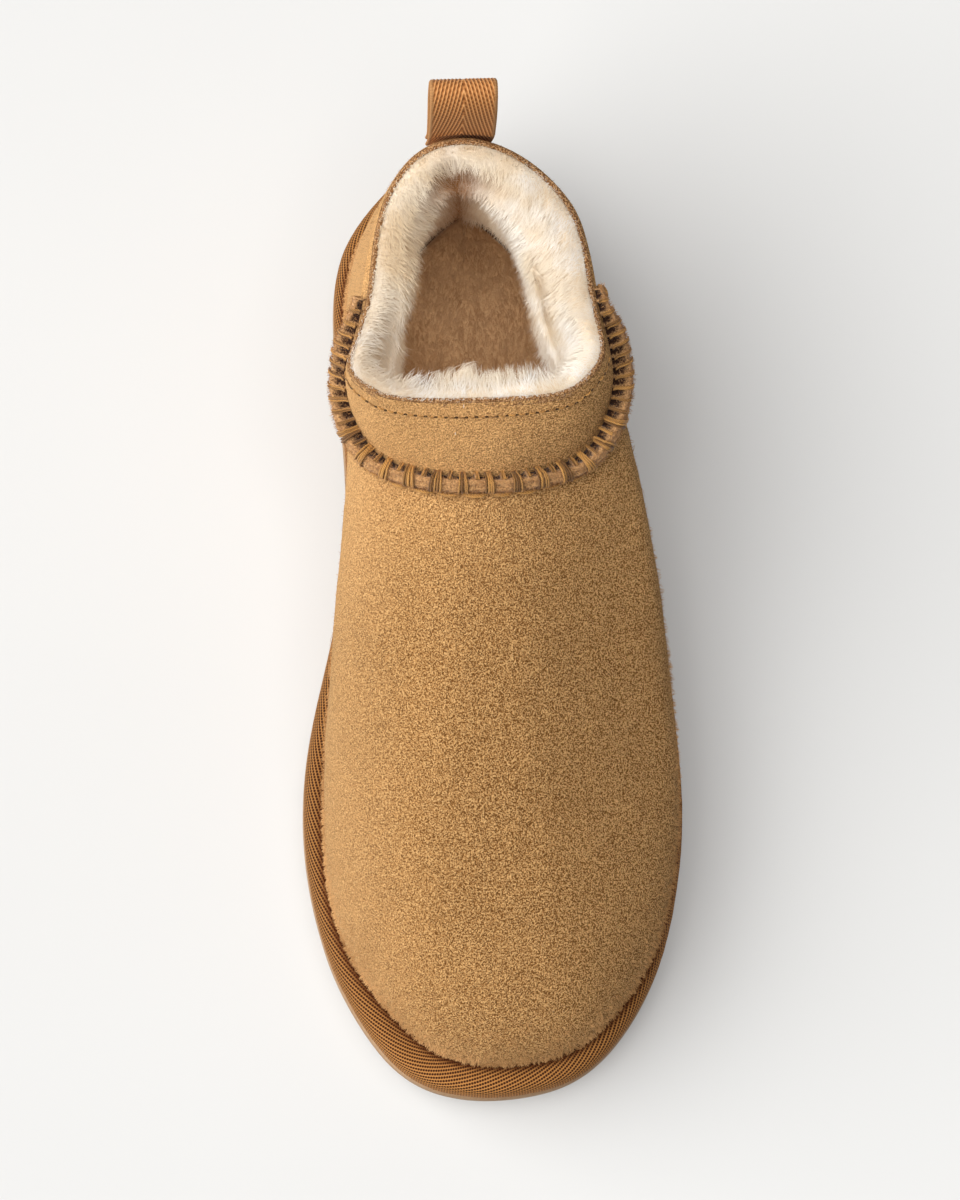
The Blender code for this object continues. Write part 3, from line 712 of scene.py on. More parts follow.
def ring_normals(rings):
    """Unit normals of a ring grid: along the ring times across the rings."""
    along = np.roll(rings, -1, axis=1) - np.roll(rings, 1, axis=1)
    return unit(np.cross(along, np.gradient(rings, axis=0)))


def lookup(values, row, column):
    """Values of a ring grid at fractional rows and columns."""
    low = np.clip(row.astype(int), 0, values.shape[0] - 2)
    left = column.astype(int) % values.shape[1]
    right = (left + 1) % values.shape[1]
    up = (row - low)[:, None]
    over = (column - column.astype(int))[:, None]
    below = values[low, left] * (1 - over) + values[low, right] * over
    above = values[low + 1, left] * (1 - over) + values[low + 1, right] * over
    return below * (1 - up) + above * up


def scatter(rings, count, rng, density, *fields):
    """Random places on a ring grid, evenly by area times density.

    Gives their fractional rows and columns, their points, and each field's directions there.
    """
    along = np.roll(rings, -1, axis=1) - rings
    area = np.linalg.norm(np.cross(along[:-1], rings[1:] - rings[:-1]), axis=-1) * density
    cell = rng.choice(area.size, size=count, p=area.ravel() / area.sum())
    row, place = np.divmod(cell, rings.shape[1])
    row = row + rng.random(count)
    place = place + rng.random(count)
    return row, place, lookup(rings, row, place), *(unit(lookup(one, row, place)) for one in fields)


def fibre_piece(name, paths, width, facing, material, tone, softness, taper=0.25):
    """Fibres as thin ribbons, one for each path of points, ending in a tip.

    facing is the pile's normal at each fibre: the ribbons turn their flat side to it, and
    softness is how much of it their shading takes.
    """
    count, steps, _ = paths.shape
    along = unit(np.gradient(paths, axis=1))
    facing = np.broadcast_to(facing[:, None], paths.shape)
    side = unit(np.cross(along, facing) + 1e-6)
    narrowing = 1 - (1 - taper) * np.linspace(0, 1, steps)
    half = (np.broadcast_to(width, (count,))[:, None] / 2 * narrowing)[..., None]
    points = np.stack([paths + side * half, paths - side * half], axis=2)
    points = points.reshape(count, 2 * steps, 3)[:, :-1]
    points[:, -1] = paths[:, -1]
    corners = []
    for first in range(0, 2 * (steps - 2), 2):
        corners += [(first, first + 3, first + 1), (first, first + 2, first + 3)]
    corners.append((2 * steps - 4, 2 * steps - 2, 2 * steps - 3))
    starts = np.arange(count) * (2 * steps - 1)
    faces = (starts[:, None, None] + np.array(corners)[None]).reshape(-1, 3)
    tones = np.repeat(tone, 2, axis=1)[:, :-1]
    piece = new_piece(name, points, faces, material, tone=tones)
    flat = unit(np.cross(side, along))
    flat *= np.sign(np.sum(flat * facing, axis=-1, keepdims=True) + 1e-9)
    shading = unit(facing * softness + flat * (1 - softness))
    shading = np.repeat(shading, 2, axis=1)[:, :-1].reshape(-1, 3) * (1, -1, 1)
    piece.data.normals_split_custom_set_from_vertices(shading.tolist())


def curved_paths(roots, start, end, length, steps, curl=0.0, rng=None):
    """Paths that leave along start and bend towards end, with a random sideways curl."""
    share = np.linspace(0, 1, steps)[None, :, None]
    way = unit(unit(start)[:, None] * (1 - share) + unit(end)[:, None] * share)
    if curl:
        way = unit(way + rng.normal(0, curl, way.shape) * share)
    stride = (length / (steps - 1))[:, None, None]
    moves = np.cumsum(way[:, :-1] * stride, axis=1)
    return np.concatenate([roots[:, None], roots[:, None] + moves], axis=1)


def gathered(paths, clumps, weakest, strongest, rng):
    """Fibres drawn together into tufts: the tip of each leans to the nearest tuft's tip."""
    pull = rng.uniform(weakest, strongest, len(paths))
    roots = paths[:, 0]
    chosen = rng.choice(len(paths), size=clumps, replace=False)
    tree = KDTree(clumps)
    for index, one in enumerate(chosen):
        tree.insert(roots[one], index)
    tree.balance()
    nearest = chosen[[tree.find(root)[1] for root in roots.tolist()]]
    share = np.linspace(0, 1, paths.shape[1])[None, :, None] ** 1.3
    return paths + (paths[nearest] - paths) * (share * pull[:, None, None])


# ---- the camera ----
CAMERA_PLACE = (-66.8, 349.3, 1650.0)       # in shoe coordinates, like its target
CAMERA_TARGET = (1.0, 128.0, 40.0)
CAMERA_UP = (0.0276, 0.9899, 0.1392)        # in the frame: the shoe stands slightly toe-out
CAMERA_LENS = 178.0


def make_camera():
    """A long lens high above the toe, as in the photo."""
    place = Vector(to_world(CAMERA_PLACE))
    forward = (Vector(to_world(CAMERA_TARGET)) - place).normalized()
    right = forward.cross(Vector(CAMERA_UP)).normalized()
    up = right.cross(forward)
    turn = Matrix((right, up, -forward)).transposed()
    data = bpy.data.cameras.new("camera")
    data.lens = CAMERA_LENS
    data.clip_end = 20
    camera = placed("camera", data)
    camera.matrix_world = Matrix.Translation(place) @ turn.to_4x4()
    bpy.context.scene.camera = camera


# ---- the suede upper ----
Crease = namedtuple("Crease", "side start start_level end end_level width depth")
CREASES = [Crease(*row) for row in (    # soft troughs, or ridges where depth is below 0
    (1, 118, 0.93, 150, 0.72, 6.0, 0.9), (1, 140, 0.95, 172, 0.80, 7.0, -0.5),
    (-1, 122, 0.92, 152, 0.70, 6.5, 0.9), (-1, 96, 0.90, 118, 0.60, 6.0, -0.6),
    (1, 92, 0.92, 108, 0.55, 6.0, 0.8), (-1, 74, 0.95, 84, 0.45, 5.0, 1.0),
    (1, 70, 0.95, 78, 0.42, 5.0, 0.9), (-1, 50, 0.70, 60, 0.25, 7.0, -0.6),
    (1, 46, 0.72, 58, 0.25, 7.0, -0.6), (1, 26, 0.30, 60, 0.22, 5.0, 0.6),
    (-1, 26, 0.28, 62, 0.22, 5.0, 0.6), (1, 236, 0.62, 262, 0.70, 12.0, 0.7),
    (-1, 228, 0.80, 262, 0.86, 10.0, 0.5), (1, 224, 0.88, 258, 0.93, 8.0, -0.4),
)]
PANEL_COLUMNS = 400
PANEL_ROWS = 84             # from the sole up to the seam's level
BAND_ROWS = 24              # and from there to the rim
LEVELS = np.append(np.linspace(0, 1, PANEL_ROWS + 1), np.linspace(1, 2, BAND_ROWS + 1)[1:])
RIM_COLUMNS = 1300
TUCK_IN = 0.8               # how far the suede's lower edge goes in and down behind the tape
TUCK_DOWN = 1.8
NAP_COUNT = 15000           # fibres in each of the suede's two kinds of nap
FRINGE_TUFTS = 3200


def crease_depth(points):
    """How far the creases press in each point of the suede."""
    depth = np.zeros(points.shape[:-1])
    share = np.linspace(0, 1, 9)
    for one in CREASES:
        first, last = (angle_at(one.side, station) for station in (one.start, one.end))
        level = one.start_level + (one.end_level - one.start_level) * share
        gap = np.full(points.shape[:-1], np.inf)
        place = np.zeros(points.shape[:-1])
        for here, spot in zip(share, outer_point(first + (last - first) * share, level)):
            away = np.linalg.norm(points - spot, axis=-1)
            place = np.where(away < gap, here, place)
            gap = np.minimum(gap, away)
        fade = 0.35 + 0.65 * np.sin(PI * np.clip(place, 0.02, 0.98))
        depth += one.depth * fade * bell(gap, one.width)
    return depth


def suede_surface(angles):
    """The creased suede as a ring grid: a row for each of LEVELS."""
    plain = np.stack([outer_point(angles, level) for level in LEVELS])
    lift = 0.22 * wobble(plain, 16.0, 1) + 0.12 * wobble(plain, 6.0, 2) - crease_depth(plain)
    level = LEVELS[:, None]
    free = ease(level, 0.0, 0.08) * (1 - ease(level, 0.9, 0.99) * (level < 1.001))
    free = free * (1 - 0.6 * ease(level, 1.8, 2.0))
    return plain + ring_normals(plain) * (lift * free)[..., None]


def make_suede_upper():
    """Vamp with quarters, and the collar band above the raised seam, cut from one surface."""
    angles = ring_angles(PANEL_COLUMNS)
    surface = suede_surface(angles)
    tuck = surface[0].copy()
    tuck[:, :2] -= outward(angles) * TUCK_IN
    tuck[:, 2] -= TUCK_DOWN
    rings = np.concatenate([tuck[None], surface])
    faces = grid_faces(*rings.shape[:2])
    row, place = np.divmod(np.arange(len(faces)), PANEL_COLUMNS)
    middle = angles[place]
    in_band = (row > PANEL_ROWS) & (middle > RIDGE_START) & (middle < RIDGE_STOP)
    level = np.append(LEVELS[:1], LEVELS)[:, None]
    # lighter towards the heel and on the collar band
    lightening = np.maximum(ease(rings[..., 1], 150, 75), ease(level, 0.98, 1.02))
    # a painted highlight along the lower edge, where the suede rounds over to the tape
    lightening = np.maximum(lightening, 0.5 * ease(level, 0.16, 0.03))
    # painted shade: less lightening towards the lateral side
    lightening = lightening * (1 - 0.6 * ease(rings[..., 0], -5, 30))
    for name, chosen in (("vamp_and_quarters", ~in_band), ("collar_band", in_band)):
        used, corners = np.unique(faces[chosen], return_inverse=True)
        points = rings.reshape(-1, 3)[used]
        tone = lightening.ravel()[used]
        new_piece(name, points, corners.reshape(-1, 4), SUEDE, tone=tone)
    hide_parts("upper")
    return surface


def make_rim():
    """The cut edge of the suede round the collar."""
    angles = ring_angles(RIM_COLUMNS)
    outer = outer_point(angles, 2.0)
    inner = wall_point(angles, 2.0, LEATHER / column("wall", angles))
    below = outer_point(angles, 1.9)
    rings = [below + (outer - below) * 0.55]
    for share, rise in ((0.0, -0.15), (0.15, 0.35), (0.5, 0.5), (0.85, 0.3), (1.0, -0.2)):
        ring = outer + (inner - outer) * share
        ring[:, 2] += rise + 0.16 * wobble(ring, 1.3, 3) + 0.22 * wobble(ring, 4.0, 4)
        ring[:, :2] += 0.16 * np.stack([wobble(ring, 1.2, 5), wobble(ring, 1.2, 6)], axis=-1)
        rings.append(ring)
    rings.append(inner + (below - outer))
    ring_piece("suede_rim", np.stack(rings), RAW_EDGE)


def make_nap(surface):
    """Short fibres: loose ones all over the suede, and tufts where it rolls over to the tape."""
    rng = np.random.default_rng(RANDOM_SEED)
    normals = ring_normals(surface)
    down = -unit(np.gradient(surface, axis=0))
    level = LEVELS[:-1, None]
    for name, density, length, width, darkest in (
        ("suede_nap_fibres", np.ones_like(level), 0.95, 0.11, 0.35),
        ("suede_nap_fringe", bell(level, 0.20), 1.35, 0.18, 0.7),
    ):
        _, _, root, normal, drop = scatter(surface, NAP_COUNT, rng, density, normals, down)
        turn = unit(rng.normal(0, 1, root.shape))
        flow = unit(turn - normal * np.sum(turn * normal, axis=-1, keepdims=True))
        facing = normal
        start = normal * 0.8 + flow * 0.6 + drop * 0.3
        end = normal * 0.1 + flow * 0.8 + drop * 0.35 + rng.normal(0, 0.5, root.shape)
        tufted = name == "suede_nap_fringe"
        if tufted:
            facing = unit(normal * 0.35 + (0.0, 0.0, 1.0))
            start = normal + drop * 0.25 + flow * 0.3
            end = normal + drop * 0.5 + flow * 0.45
        size = length * rng.uniform(0.6, 1.3, NAP_COUNT)
        paths = curved_paths(root - normal * 0.15, start, end, size, 3)
        if tufted:
            paths = gathered(paths, FRINGE_TUFTS, 0.4, 0.9, rng)
        shades = rng.uniform(darkest, 1.0, NAP_COUNT)[:, None] * np.array([0.7, 0.95, 1.1])
        fibre_piece(name, paths, width, facing, NAP, shades, 0.6)


# ---- the fleece ----
FLEECE_COLUMNS = 320
ROLL_ROWS = 12              # from the suede's edge over the rim
DEEP_ROWS = ROLL_ROWS + 10  # rows over which the parting's darkening, partly painted shade, turns wide
THROAT_ROWS = 18            # from the rim down to the seam's level
LINING_ROWS = 28            # from there down to the footbed
GROUND_SHARE = 0.62         # how deep in the wall the fleece's ground lies
PARTING_ANGLE = -0.12       # the fleece parts at the back of the heel
FLEECE_PARTS = 4
PART_COUNT = 20000          # fibres in each part, and the tufts they form
PART_TUFTS = 2600
TUFTS = 95                  # wisps at the front, and their fibres and points
TUFT_COUNT = 26
TUFT_STEPS = 5


def off_parting(angles):
    """Angle from the fleece's parting, below 0 on its medial side."""
    return np.mod(angles + PI, TURN) - PI - PARTING_ANGLE


def parting_darkness(angles, over):
    """How much a place darkens at the parting at the back of the heel, from 0 to 1: parted wool and
    painted shade.
    """
    deep = ease(over, 0.3, 0.8)
    return bell(off_parting(angles), 0.12 + 0.24 * deep) * (0.15 + 0.85 * deep)


def fleece_fullness(angles, level):
    """Extra depth of the fleece: low round the heel, and swelling over the footbed's sides."""
    around = from_back(angles)
    heel = 4.5 * bell(around, 0.40) * ease(level, 1.5, 0.75)
    side = 3.2 * bell(angles - 0.95, 0.50) + 1.2
    medial = ease(angles, TURN - 1.6, TURN - 1.2) * ease(around, 0.1, 0.4)
    under_roll = (2.2 - 1.6 * medial) * ease(level, 2.0, 1.5) * ease(around, 0.15, 0.6)
    sides = side * ease(level, 1.7, 1.0) + under_roll
    return heel + sides * ease(level, 0.1, 0.7)


def fleece_ground():
    """The ground of the fleece over the rim and down the inner wall: rings, angles and levels."""
    angles = ring_angles(FLEECE_COLUMNS)
    wall = column("wall", angles)
    edge = 0.6 * (LEATHER / wall)
    rows = []
    for share in np.linspace(0, 1, ROLL_ROWS):
        ring = wall_point(angles, 2.0, edge + (GROUND_SHARE - edge) * share)
        ring[:, 2] += 0.9 * np.sin(PI * share) - 0.6 * (1 - share) - 0.3
        rows.append(ring)
    levels = np.append(
        np.linspace(2, 1, THROAT_ROWS + 1)[1:], np.linspace(1, 0.02, LINING_ROWS + 1)[1:])
    for level in levels:
        depth = GROUND_SHARE + 0.12 * ease(level, 2.0, 1.5)
        rows.append(wall_point(angles, level, depth + fleece_fullness(angles, level) / wall))
    ground = np.stack(rows)
    lift = 0.9 * wobble(ground, 11.0, 7) + 0.5 * wobble(ground, 4.5, 8)
    start = np.append(np.linspace(0, 1, ROLL_ROWS), np.ones(len(levels)))[:, None]
    parting = bell(off_parting(angles), 0.13) * ease(start, 0.5, 1.0)
    ground = ground + ring_normals(ground) * (lift * start - 1.8 * parting)[..., None]
    return ground, angles, np.append(np.full(ROLL_ROWS, 2.0), levels)


def fleece_density(angles, level):
    """Where fibres show: the rim and the throat all round, the walls behind the throat."""
    lowest = 0.12 + 0.80 * ease(from_back(angles), RIDGE_START, RIDGE_START + 0.5)
    seen = ease(level, lowest - 0.12, lowest + 0.12)
    return (0.03 + seen) * (1 + 0.6 * ease(level, 1.4, 1.9))


def make_fleece():
    """The fleece's ground, and its fibres in parts."""
    ground, angles, level = fleece_ground()
    deep = np.clip(np.arange(len(ground)) / DEEP_ROWS, 0, 1)[:, None]
    # the ground is darker at the parting: parted wool and painted shade
    ring_piece("fleece_ground", ground, FLEECE_BED, tone=1 - 0.75 * parting_darkness(angles, deep))
    normals = ring_normals(ground)
    inward = unit(np.gradient(ground, axis=0))
    density = fleece_density(angles, level[:-1, None])
    rng = np.random.default_rng(RANDOM_SEED + 1)
    for part in range(FLEECE_PARTS):
        row, place, root, normal, way = scatter(ground, PART_COUNT, rng, density, normals, inward)
        angle = place / FLEECE_COLUMNS * TURN
        around = from_back(angle)
        over = np.clip(row / (ROLL_ROWS - 1), 0, 1)
        toeward = np.zeros_like(root)
        toeward[:, 1] = 0.45 * over * ease(around, 0.1, 0.8) * (1 - ease(around, 2.0, 2.6))
        lean = rng.normal(0, 0.17, root.shape)
        sway = 0.5 * np.stack([wobble(root, 7.0, 11 + axis) for axis in range(3)], axis=-1)
        flat = ease(row, ROLL_ROWS - 3, ROLL_ROWS + 8)[:, None]
        start = normal * (1 - 0.5 * flat) + (0.45 + 0.4 * flat) * way + toeward + lean
        end = (0.5 - 0.3 * flat) * normal + (0.9 - 0.3 * over[:, None]) * way
        end = end + 1.4 * toeward + sway + 1.6 * lean
        length = (3.4 + 2.8 * over) * rng.uniform(0.75, 1.15, PART_COUNT)
        length = length * (1 - 0.35 * bell(around, 0.45))
        paths = curved_paths(root, start, end, length, 4, 0.12, rng)
        paths = gathered(paths, PART_TUFTS, 0.1, 0.38, rng)
        shades = rng.uniform(-0.05, 0.03, PART_COUNT)[:, None] + np.array([0.80, 0.92, 0.98, 1.0])
        # darker at the parting, partly painted shade, and painted shade on the medial wall
        darker_at_parting = parting_darkness(angle, np.clip(row / DEEP_ROWS, 0, 1)) * rng.uniform(0.7, 1.1, PART_COUNT)
        shades = shades - 0.95 * darker_at_parting[:, None] - 0.12 * ease(-root[:, :1], 5, 22)
        width = rng.uniform(0.13, 0.21, PART_COUNT)
        fibre_piece(f"fleece_fibres_{part + 1}", paths, width, normal, FLEECE, shades, 0.95)


def make_tufts():
    """Longer wisps at the front, reaching back over the footbed."""
    rng = np.random.default_rng(RANDOM_SEED + 2)
    count = TUFTS * TUFT_COUNT
    angle = PI + rng.uniform(-0.62, 0.62, TUFTS)
    middle = wall_point(angle, rng.uniform(1.35, 1.95, TUFTS), 0.72)
    away = unit(middle * (1, 1, 0) - (COLLAR_CENTRE[0], COLLAR_CENTRE[1] - 12, 0))
    root = np.repeat(middle, TUFT_COUNT, axis=0) + rng.normal(0, 1.5, (count, 3))
    aim = unit(-away + rng.normal(0, 0.22, away.shape) + (0, 0, -0.12))
    aim = np.repeat(aim, TUFT_COUNT, axis=0)
    start = aim + (0, 0, 0.35) + rng.normal(0, 0.25, (count, 3))
    end = aim + rng.normal(0, 0.18, (count, 3))
    length = np.repeat(rng.uniform(4.5, 7.6, TUFTS), TUFT_COUNT) * rng.uniform(0.7, 1.1, count)
    paths = curved_paths(root, start, end, length, TUFT_STEPS, 0.08, rng)
    grouped = paths.reshape(TUFTS, TUFT_COUNT, TUFT_STEPS, 3)
    share = (np.linspace(0, 1, TUFT_STEPS) ** 1.5 * 0.75)[:, None]
    grouped = grouped + (grouped[:, :1] - grouped) * share
    upward = np.broadcast_to((0.0, 0.0, 1.0), (count, 3))
    shades = rng.uniform(-0.04, 0.03, count)[:, None] + np.array([0.84, 0.92, 0.97, 1.0, 1.0])
    fibre_piece(
        "fleece_front_tufts", grouped.reshape(paths.shape), 0.16, upward, FLEECE, shades, 0.5,
        taper=0.1)


# ---- the footbed ----
FOOTBED_COLUMNS = 240
FOOTBED_RINGS = (           # inset from the insole's edge and rise over the midsole
    (1.0, 0.3), (0.2, 1.0), (0.0, 2.4), (0.3, 3.8), (1.4, 4.7), (3.0, 5.0), (6.0, 4.8), (10.0, 4.5),
)
MIDDLE_SHARES = np.linspace(0, 0.985, 13)[1:]       # further rings, in towards the middle line
PILE_START = 3              # the ring from which the footbed wears its pile
PILE_COUNT = 18000
PILE_TUFTS = 1400


def make_footbed():
    """The padded footbed and its pile."""
    angles = ring_angles(FOOTBED_COLUMNS)
    edge = column("margin", angles) + column("wall", angles) + 0.6
    places = [(inset_outline(angles, edge + inset), rise) for inset, rise in FOOTBED_RINGS]
    last, rise = places[-1]
    for share in MIDDLE_SHARES:
        places.append((last * (1 - share) + last * (0, share), rise - 0.5 * share))
    rings = np.stack([raised(plan, platform_height(plan[:, 1]) + rise) for plan, rise in places])
    top = np.arange(len(rings))[:, None] > PILE_START
    uneven = 0.35 * wobble(rings, 13.0, 21) + 0.12 * wobble(rings, 3.0, 22)
    rings[..., 2] += np.where(top, uneven, 0)
    footbed = ring_piece(
        "footbed", rings, PILE_GROUND, tone=np.ones(rings.shape[:2]), cap_first=True, cap_last=True)
    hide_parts("insole")

    rng = np.random.default_rng(RANDOM_SEED + 3)
    pile = rings[PILE_START:]
    density = (0.05 + ease(pile[..., 1], 150, 120))[:-1]
    _, _, root, normal = scatter(pile, PILE_COUNT, rng, density, ring_normals(pile))
    sway = 0.5 * wobble(root * (1, 0.35, 1), 9.0, 23)
    flow = np.array([0.0, 1.0, 0.0]) + sway[:, None] * (1, 0, 0)
    start = 0.7 * normal + 0.6 * flow + rng.normal(0, 0.2, root.shape)
    end = 0.15 * normal + flow + rng.normal(0, 0.25, root.shape)
    length = rng.uniform(1.6, 3.2, PILE_COUNT)
    paths = curved_paths(root - 0.1 * normal, start, end, length, 3)
    paths = gathered(paths, PILE_TUFTS, 0.1, 0.35, rng)
    shades = rng.uniform(-0.15, 0.15, PILE_COUNT)[:, None] + np.array([0.3, 0.75, 1.0])
    fibre_piece("footbed_pile_fibres", paths, 0.2, normal, PILE, shades, 0.7)


# ---- the sole ----
TAPE_COLUMNS = 720
TAPE_ROWS = 30
TapeEdge = namedtuple("TapeEdge", "inset share")
TAPE_PROFILE = TapeEdge(*np.transpose((     # from the band's lower edge up and over to the suede
    (1.3, -0.02), (0.9, 0.0), (0.2, 0.12), (0.0, 0.36), (0.15, 0.6), (0.8, 0.8), (2.0, 0.94),
    (3.9, 1.0), (6.0, 0.985), (8.5, 0.93), (11.0, 0.86),
)))
SOLE_COLUMNS = 900
SOLE_PROFILE = (            # inset, height and share of the wall, from the tread up to the band
    (2.9, 0.0, 0.0), (2.0, 0.0, 0.0), (1.1, 0.5, 0.0), (0.5, 1.5, 0.0), (0.1, 3.0, 0.0),
    (-0.2, 0.0, 0.55), (-0.2, 0.0, 0.66), (0.3, 0.0, 0.70), (0.3, 0.0, 0.74), (-0.2, 0.0, 0.78),
    (-0.1, 0.0, 0.90), (0.4, 0.0, 0.97), (1.4, 0.0, 1.0),
)
TREAD_ROWS = 25
GROOVE_WIDTH = 3.0
GROOVE_DEPTH = 2.0
GROOVE_SWEEP = 5.0          # how far towards the toe a groove bends at the middle line
GROOVE_STATIONS = (24, 52, 62, 146, 160, 174, 196, 210, 224)
GROOVE_REACH = 70.0         # and how far to the side its bend would come to nothing


def make_tape():
    """The woven tape wrapped round the midsole, up to where it meets the suede."""
    angles = ring_angles(TAPE_COLUMNS)
    knots = lengths_along(np.transpose(TAPE_PROFILE) * (1, BAND_HEIGHT))
    fine = np.linspace(0, knots[-1], 200)
    inset, share = (spline(knots, values, fine) for values in TAPE_PROFILE)
    crest = np.argmin(inset)
    reach = np.interp(column("margin", angles) + 1.2, inset[crest:], fine[crest:])
    run = np.linspace(0, 1, TAPE_ROWS)[:, None] * reach
    plan = inset_outline(np.broadcast_to(angles, run.shape), np.interp(run, fine, inset))
    near_suede = ease(run, reach - 2.8, reach - 0.3)
    height = band_height(plan[..., 1], np.interp(run, fine, share)) - 1.5 * near_suede
    rings = raised(plan, height)
    lift = 0.12 * wobble(rings, 9.0, 31) + 0.07 * wobble(rings, 3.0, 32)
    rings += ring_normals(rings) * lift[..., None]
    along = lengths_along(sole_point(np.append(angles, 0.0)))
    across = np.concatenate([run, run[:, :1]], axis=1)
    uv = grid_uv(np.broadcast_to(along, across.shape), across)
    # painted shadow: the tape darkens in its tuck under the suede's edge
    tone = 1 - 0.95 * ease(run, reach - 4.6, reach - 2.2)
    tape = ring_piece("binding_tape", rings, TAPE, uv, tone, cap_first=True, cap_last=True)
    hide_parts("midsole")


def tread_lift(plan):
    """Height of the grooves over the sole's underside."""
    ahead = GROOVE_SWEEP * (1 - np.abs(plan[..., 0]) / GROOVE_REACH)
    lift = np.zeros(plan.shape[:-1])
    for station in GROOVE_STATIONS:
        off = np.abs(plan[..., 1] - station - ahead)
        lift = np.maximum(lift, GROOVE_DEPTH * ease(off, GROOVE_WIDTH / 2 + 0.5, GROOVE_WIDTH / 2))
    return lift


def make_outsole():
    """The moulded rubber sole: a smooth wall with a fine line, and grooves across its tread."""
    angles = ring_angles(SOLE_COLUMNS)
    toe = ease(sole_point(angles)[:, 1], 215, 250)
    rings = []
    for inset, rise, share in SOLE_PROFILE:
        plan = inset_outline(angles, inset - 0.3 * toe * (inset < 1))
        bottom = floor_height(plan[:, 1])
        top = band_height(plan[:, 1], 0) - 0.3
        height = bottom + rise + (top - bottom) * share
        if share == 0:
            height = np.maximum(height, bottom + tread_lift(plan))
        rings.append(raised(plan, height))
    wall = ring_piece("outsole_wall", np.stack(rings), RUBBER, cap_last=True)
    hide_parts("outsole")

    half = SOLE_COLUMNS // 2
    right = rings[0][:half]
    left = rings[0][::-1][:half]
    tread = right + (left - right) * np.linspace(0, 1, TREAD_ROWS)[:, None, None]
    lift = tread_lift(tread)
    cross = np.abs(np.mod(tread[..., 0] + tread[..., 1], 6.0) - 3.0)
    shallow = np.where(lift > 0, 0, 0.35 * ease(cross, 0.5, 0.0))
    tread[..., 2] = floor_height(tread[..., 1]) + lift + shallow
    faces = grid_faces(TREAD_ROWS, half, wrap=False)
    new_piece("outsole_tread", tread, faces[:, ::-1], RUBBER)


# ---- the raised seam ----
RIDGE_STEP = 0.4            # between cross sections along the seam
RIDGE_SIDES = 30
RIDGE_HALF = 2.45
RIDGE_HEIGHT = 5.0
RIDGE_OVERRUN = 0.05        # how far it goes on past its two sections, as an angle
FUZZ_COUNT = 9000
WHIP_PITCH = 6.8
STRAND = 0.32               # radius of a whip stitch's strand


def seam_line(step):
    """Places at equal steps along the seam: travel, point, normal, and the way up to the collar."""
    angles = np.linspace(RIDGE_START - RIDGE_OVERRUN, RIDGE_STOP + RIDGE_OVERRUN, 1200)
    travel = lengths_along(outer_point(angles, 1.0))
    places = np.linspace(0, travel[-1], int(travel[-1] / step) + 1)
    angles = np.interp(places, travel, angles)
    root = outer_point(angles, 1.0)
    run = unit(np.gradient(root, axis=0))
    normal = unit(outer_normal(angles, 0.97) + outer_normal(angles, 1.12))
    normal = unit(normal - run * np.sum(normal * run, axis=-1, keepdims=True))
    return places, root, normal, np.cross(normal, run)


def whip_pitch(total):
    """WHIP_PITCH, fitted to the seam's whole length."""
    return total / round(total / WHIP_PITCH)


def to_side(travel, total):
    """0 along the front of the seam, 1 along its sides, where no bundles go over it."""
    return ease(np.abs(2 * travel / total - 1), 0.42, 0.62)


def ridge_section(travel, total, turn):
    """Place (across, out) on the ridge at a turn over its section, and how stitches pinch it."""
    grown = 0.35 + 0.65 * ease(np.minimum(travel, total - travel), 0, 16)
    pinch = np.abs(np.cos(PI * travel / whip_pitch(total))) ** 6 * (1 - to_side(travel, total))
    half = RIDGE_HALF * (1.0 - 0.06 * pinch) * (0.8 + 0.2 * grown)
    height = RIDGE_HEIGHT * (1.0 - 0.07 * pinch) * grown
    across = -half * np.sign(np.cos(turn)) * np.abs(np.cos(turn)) ** 0.7
    return across, height * np.abs(np.sin(turn)) ** 0.65, pinch


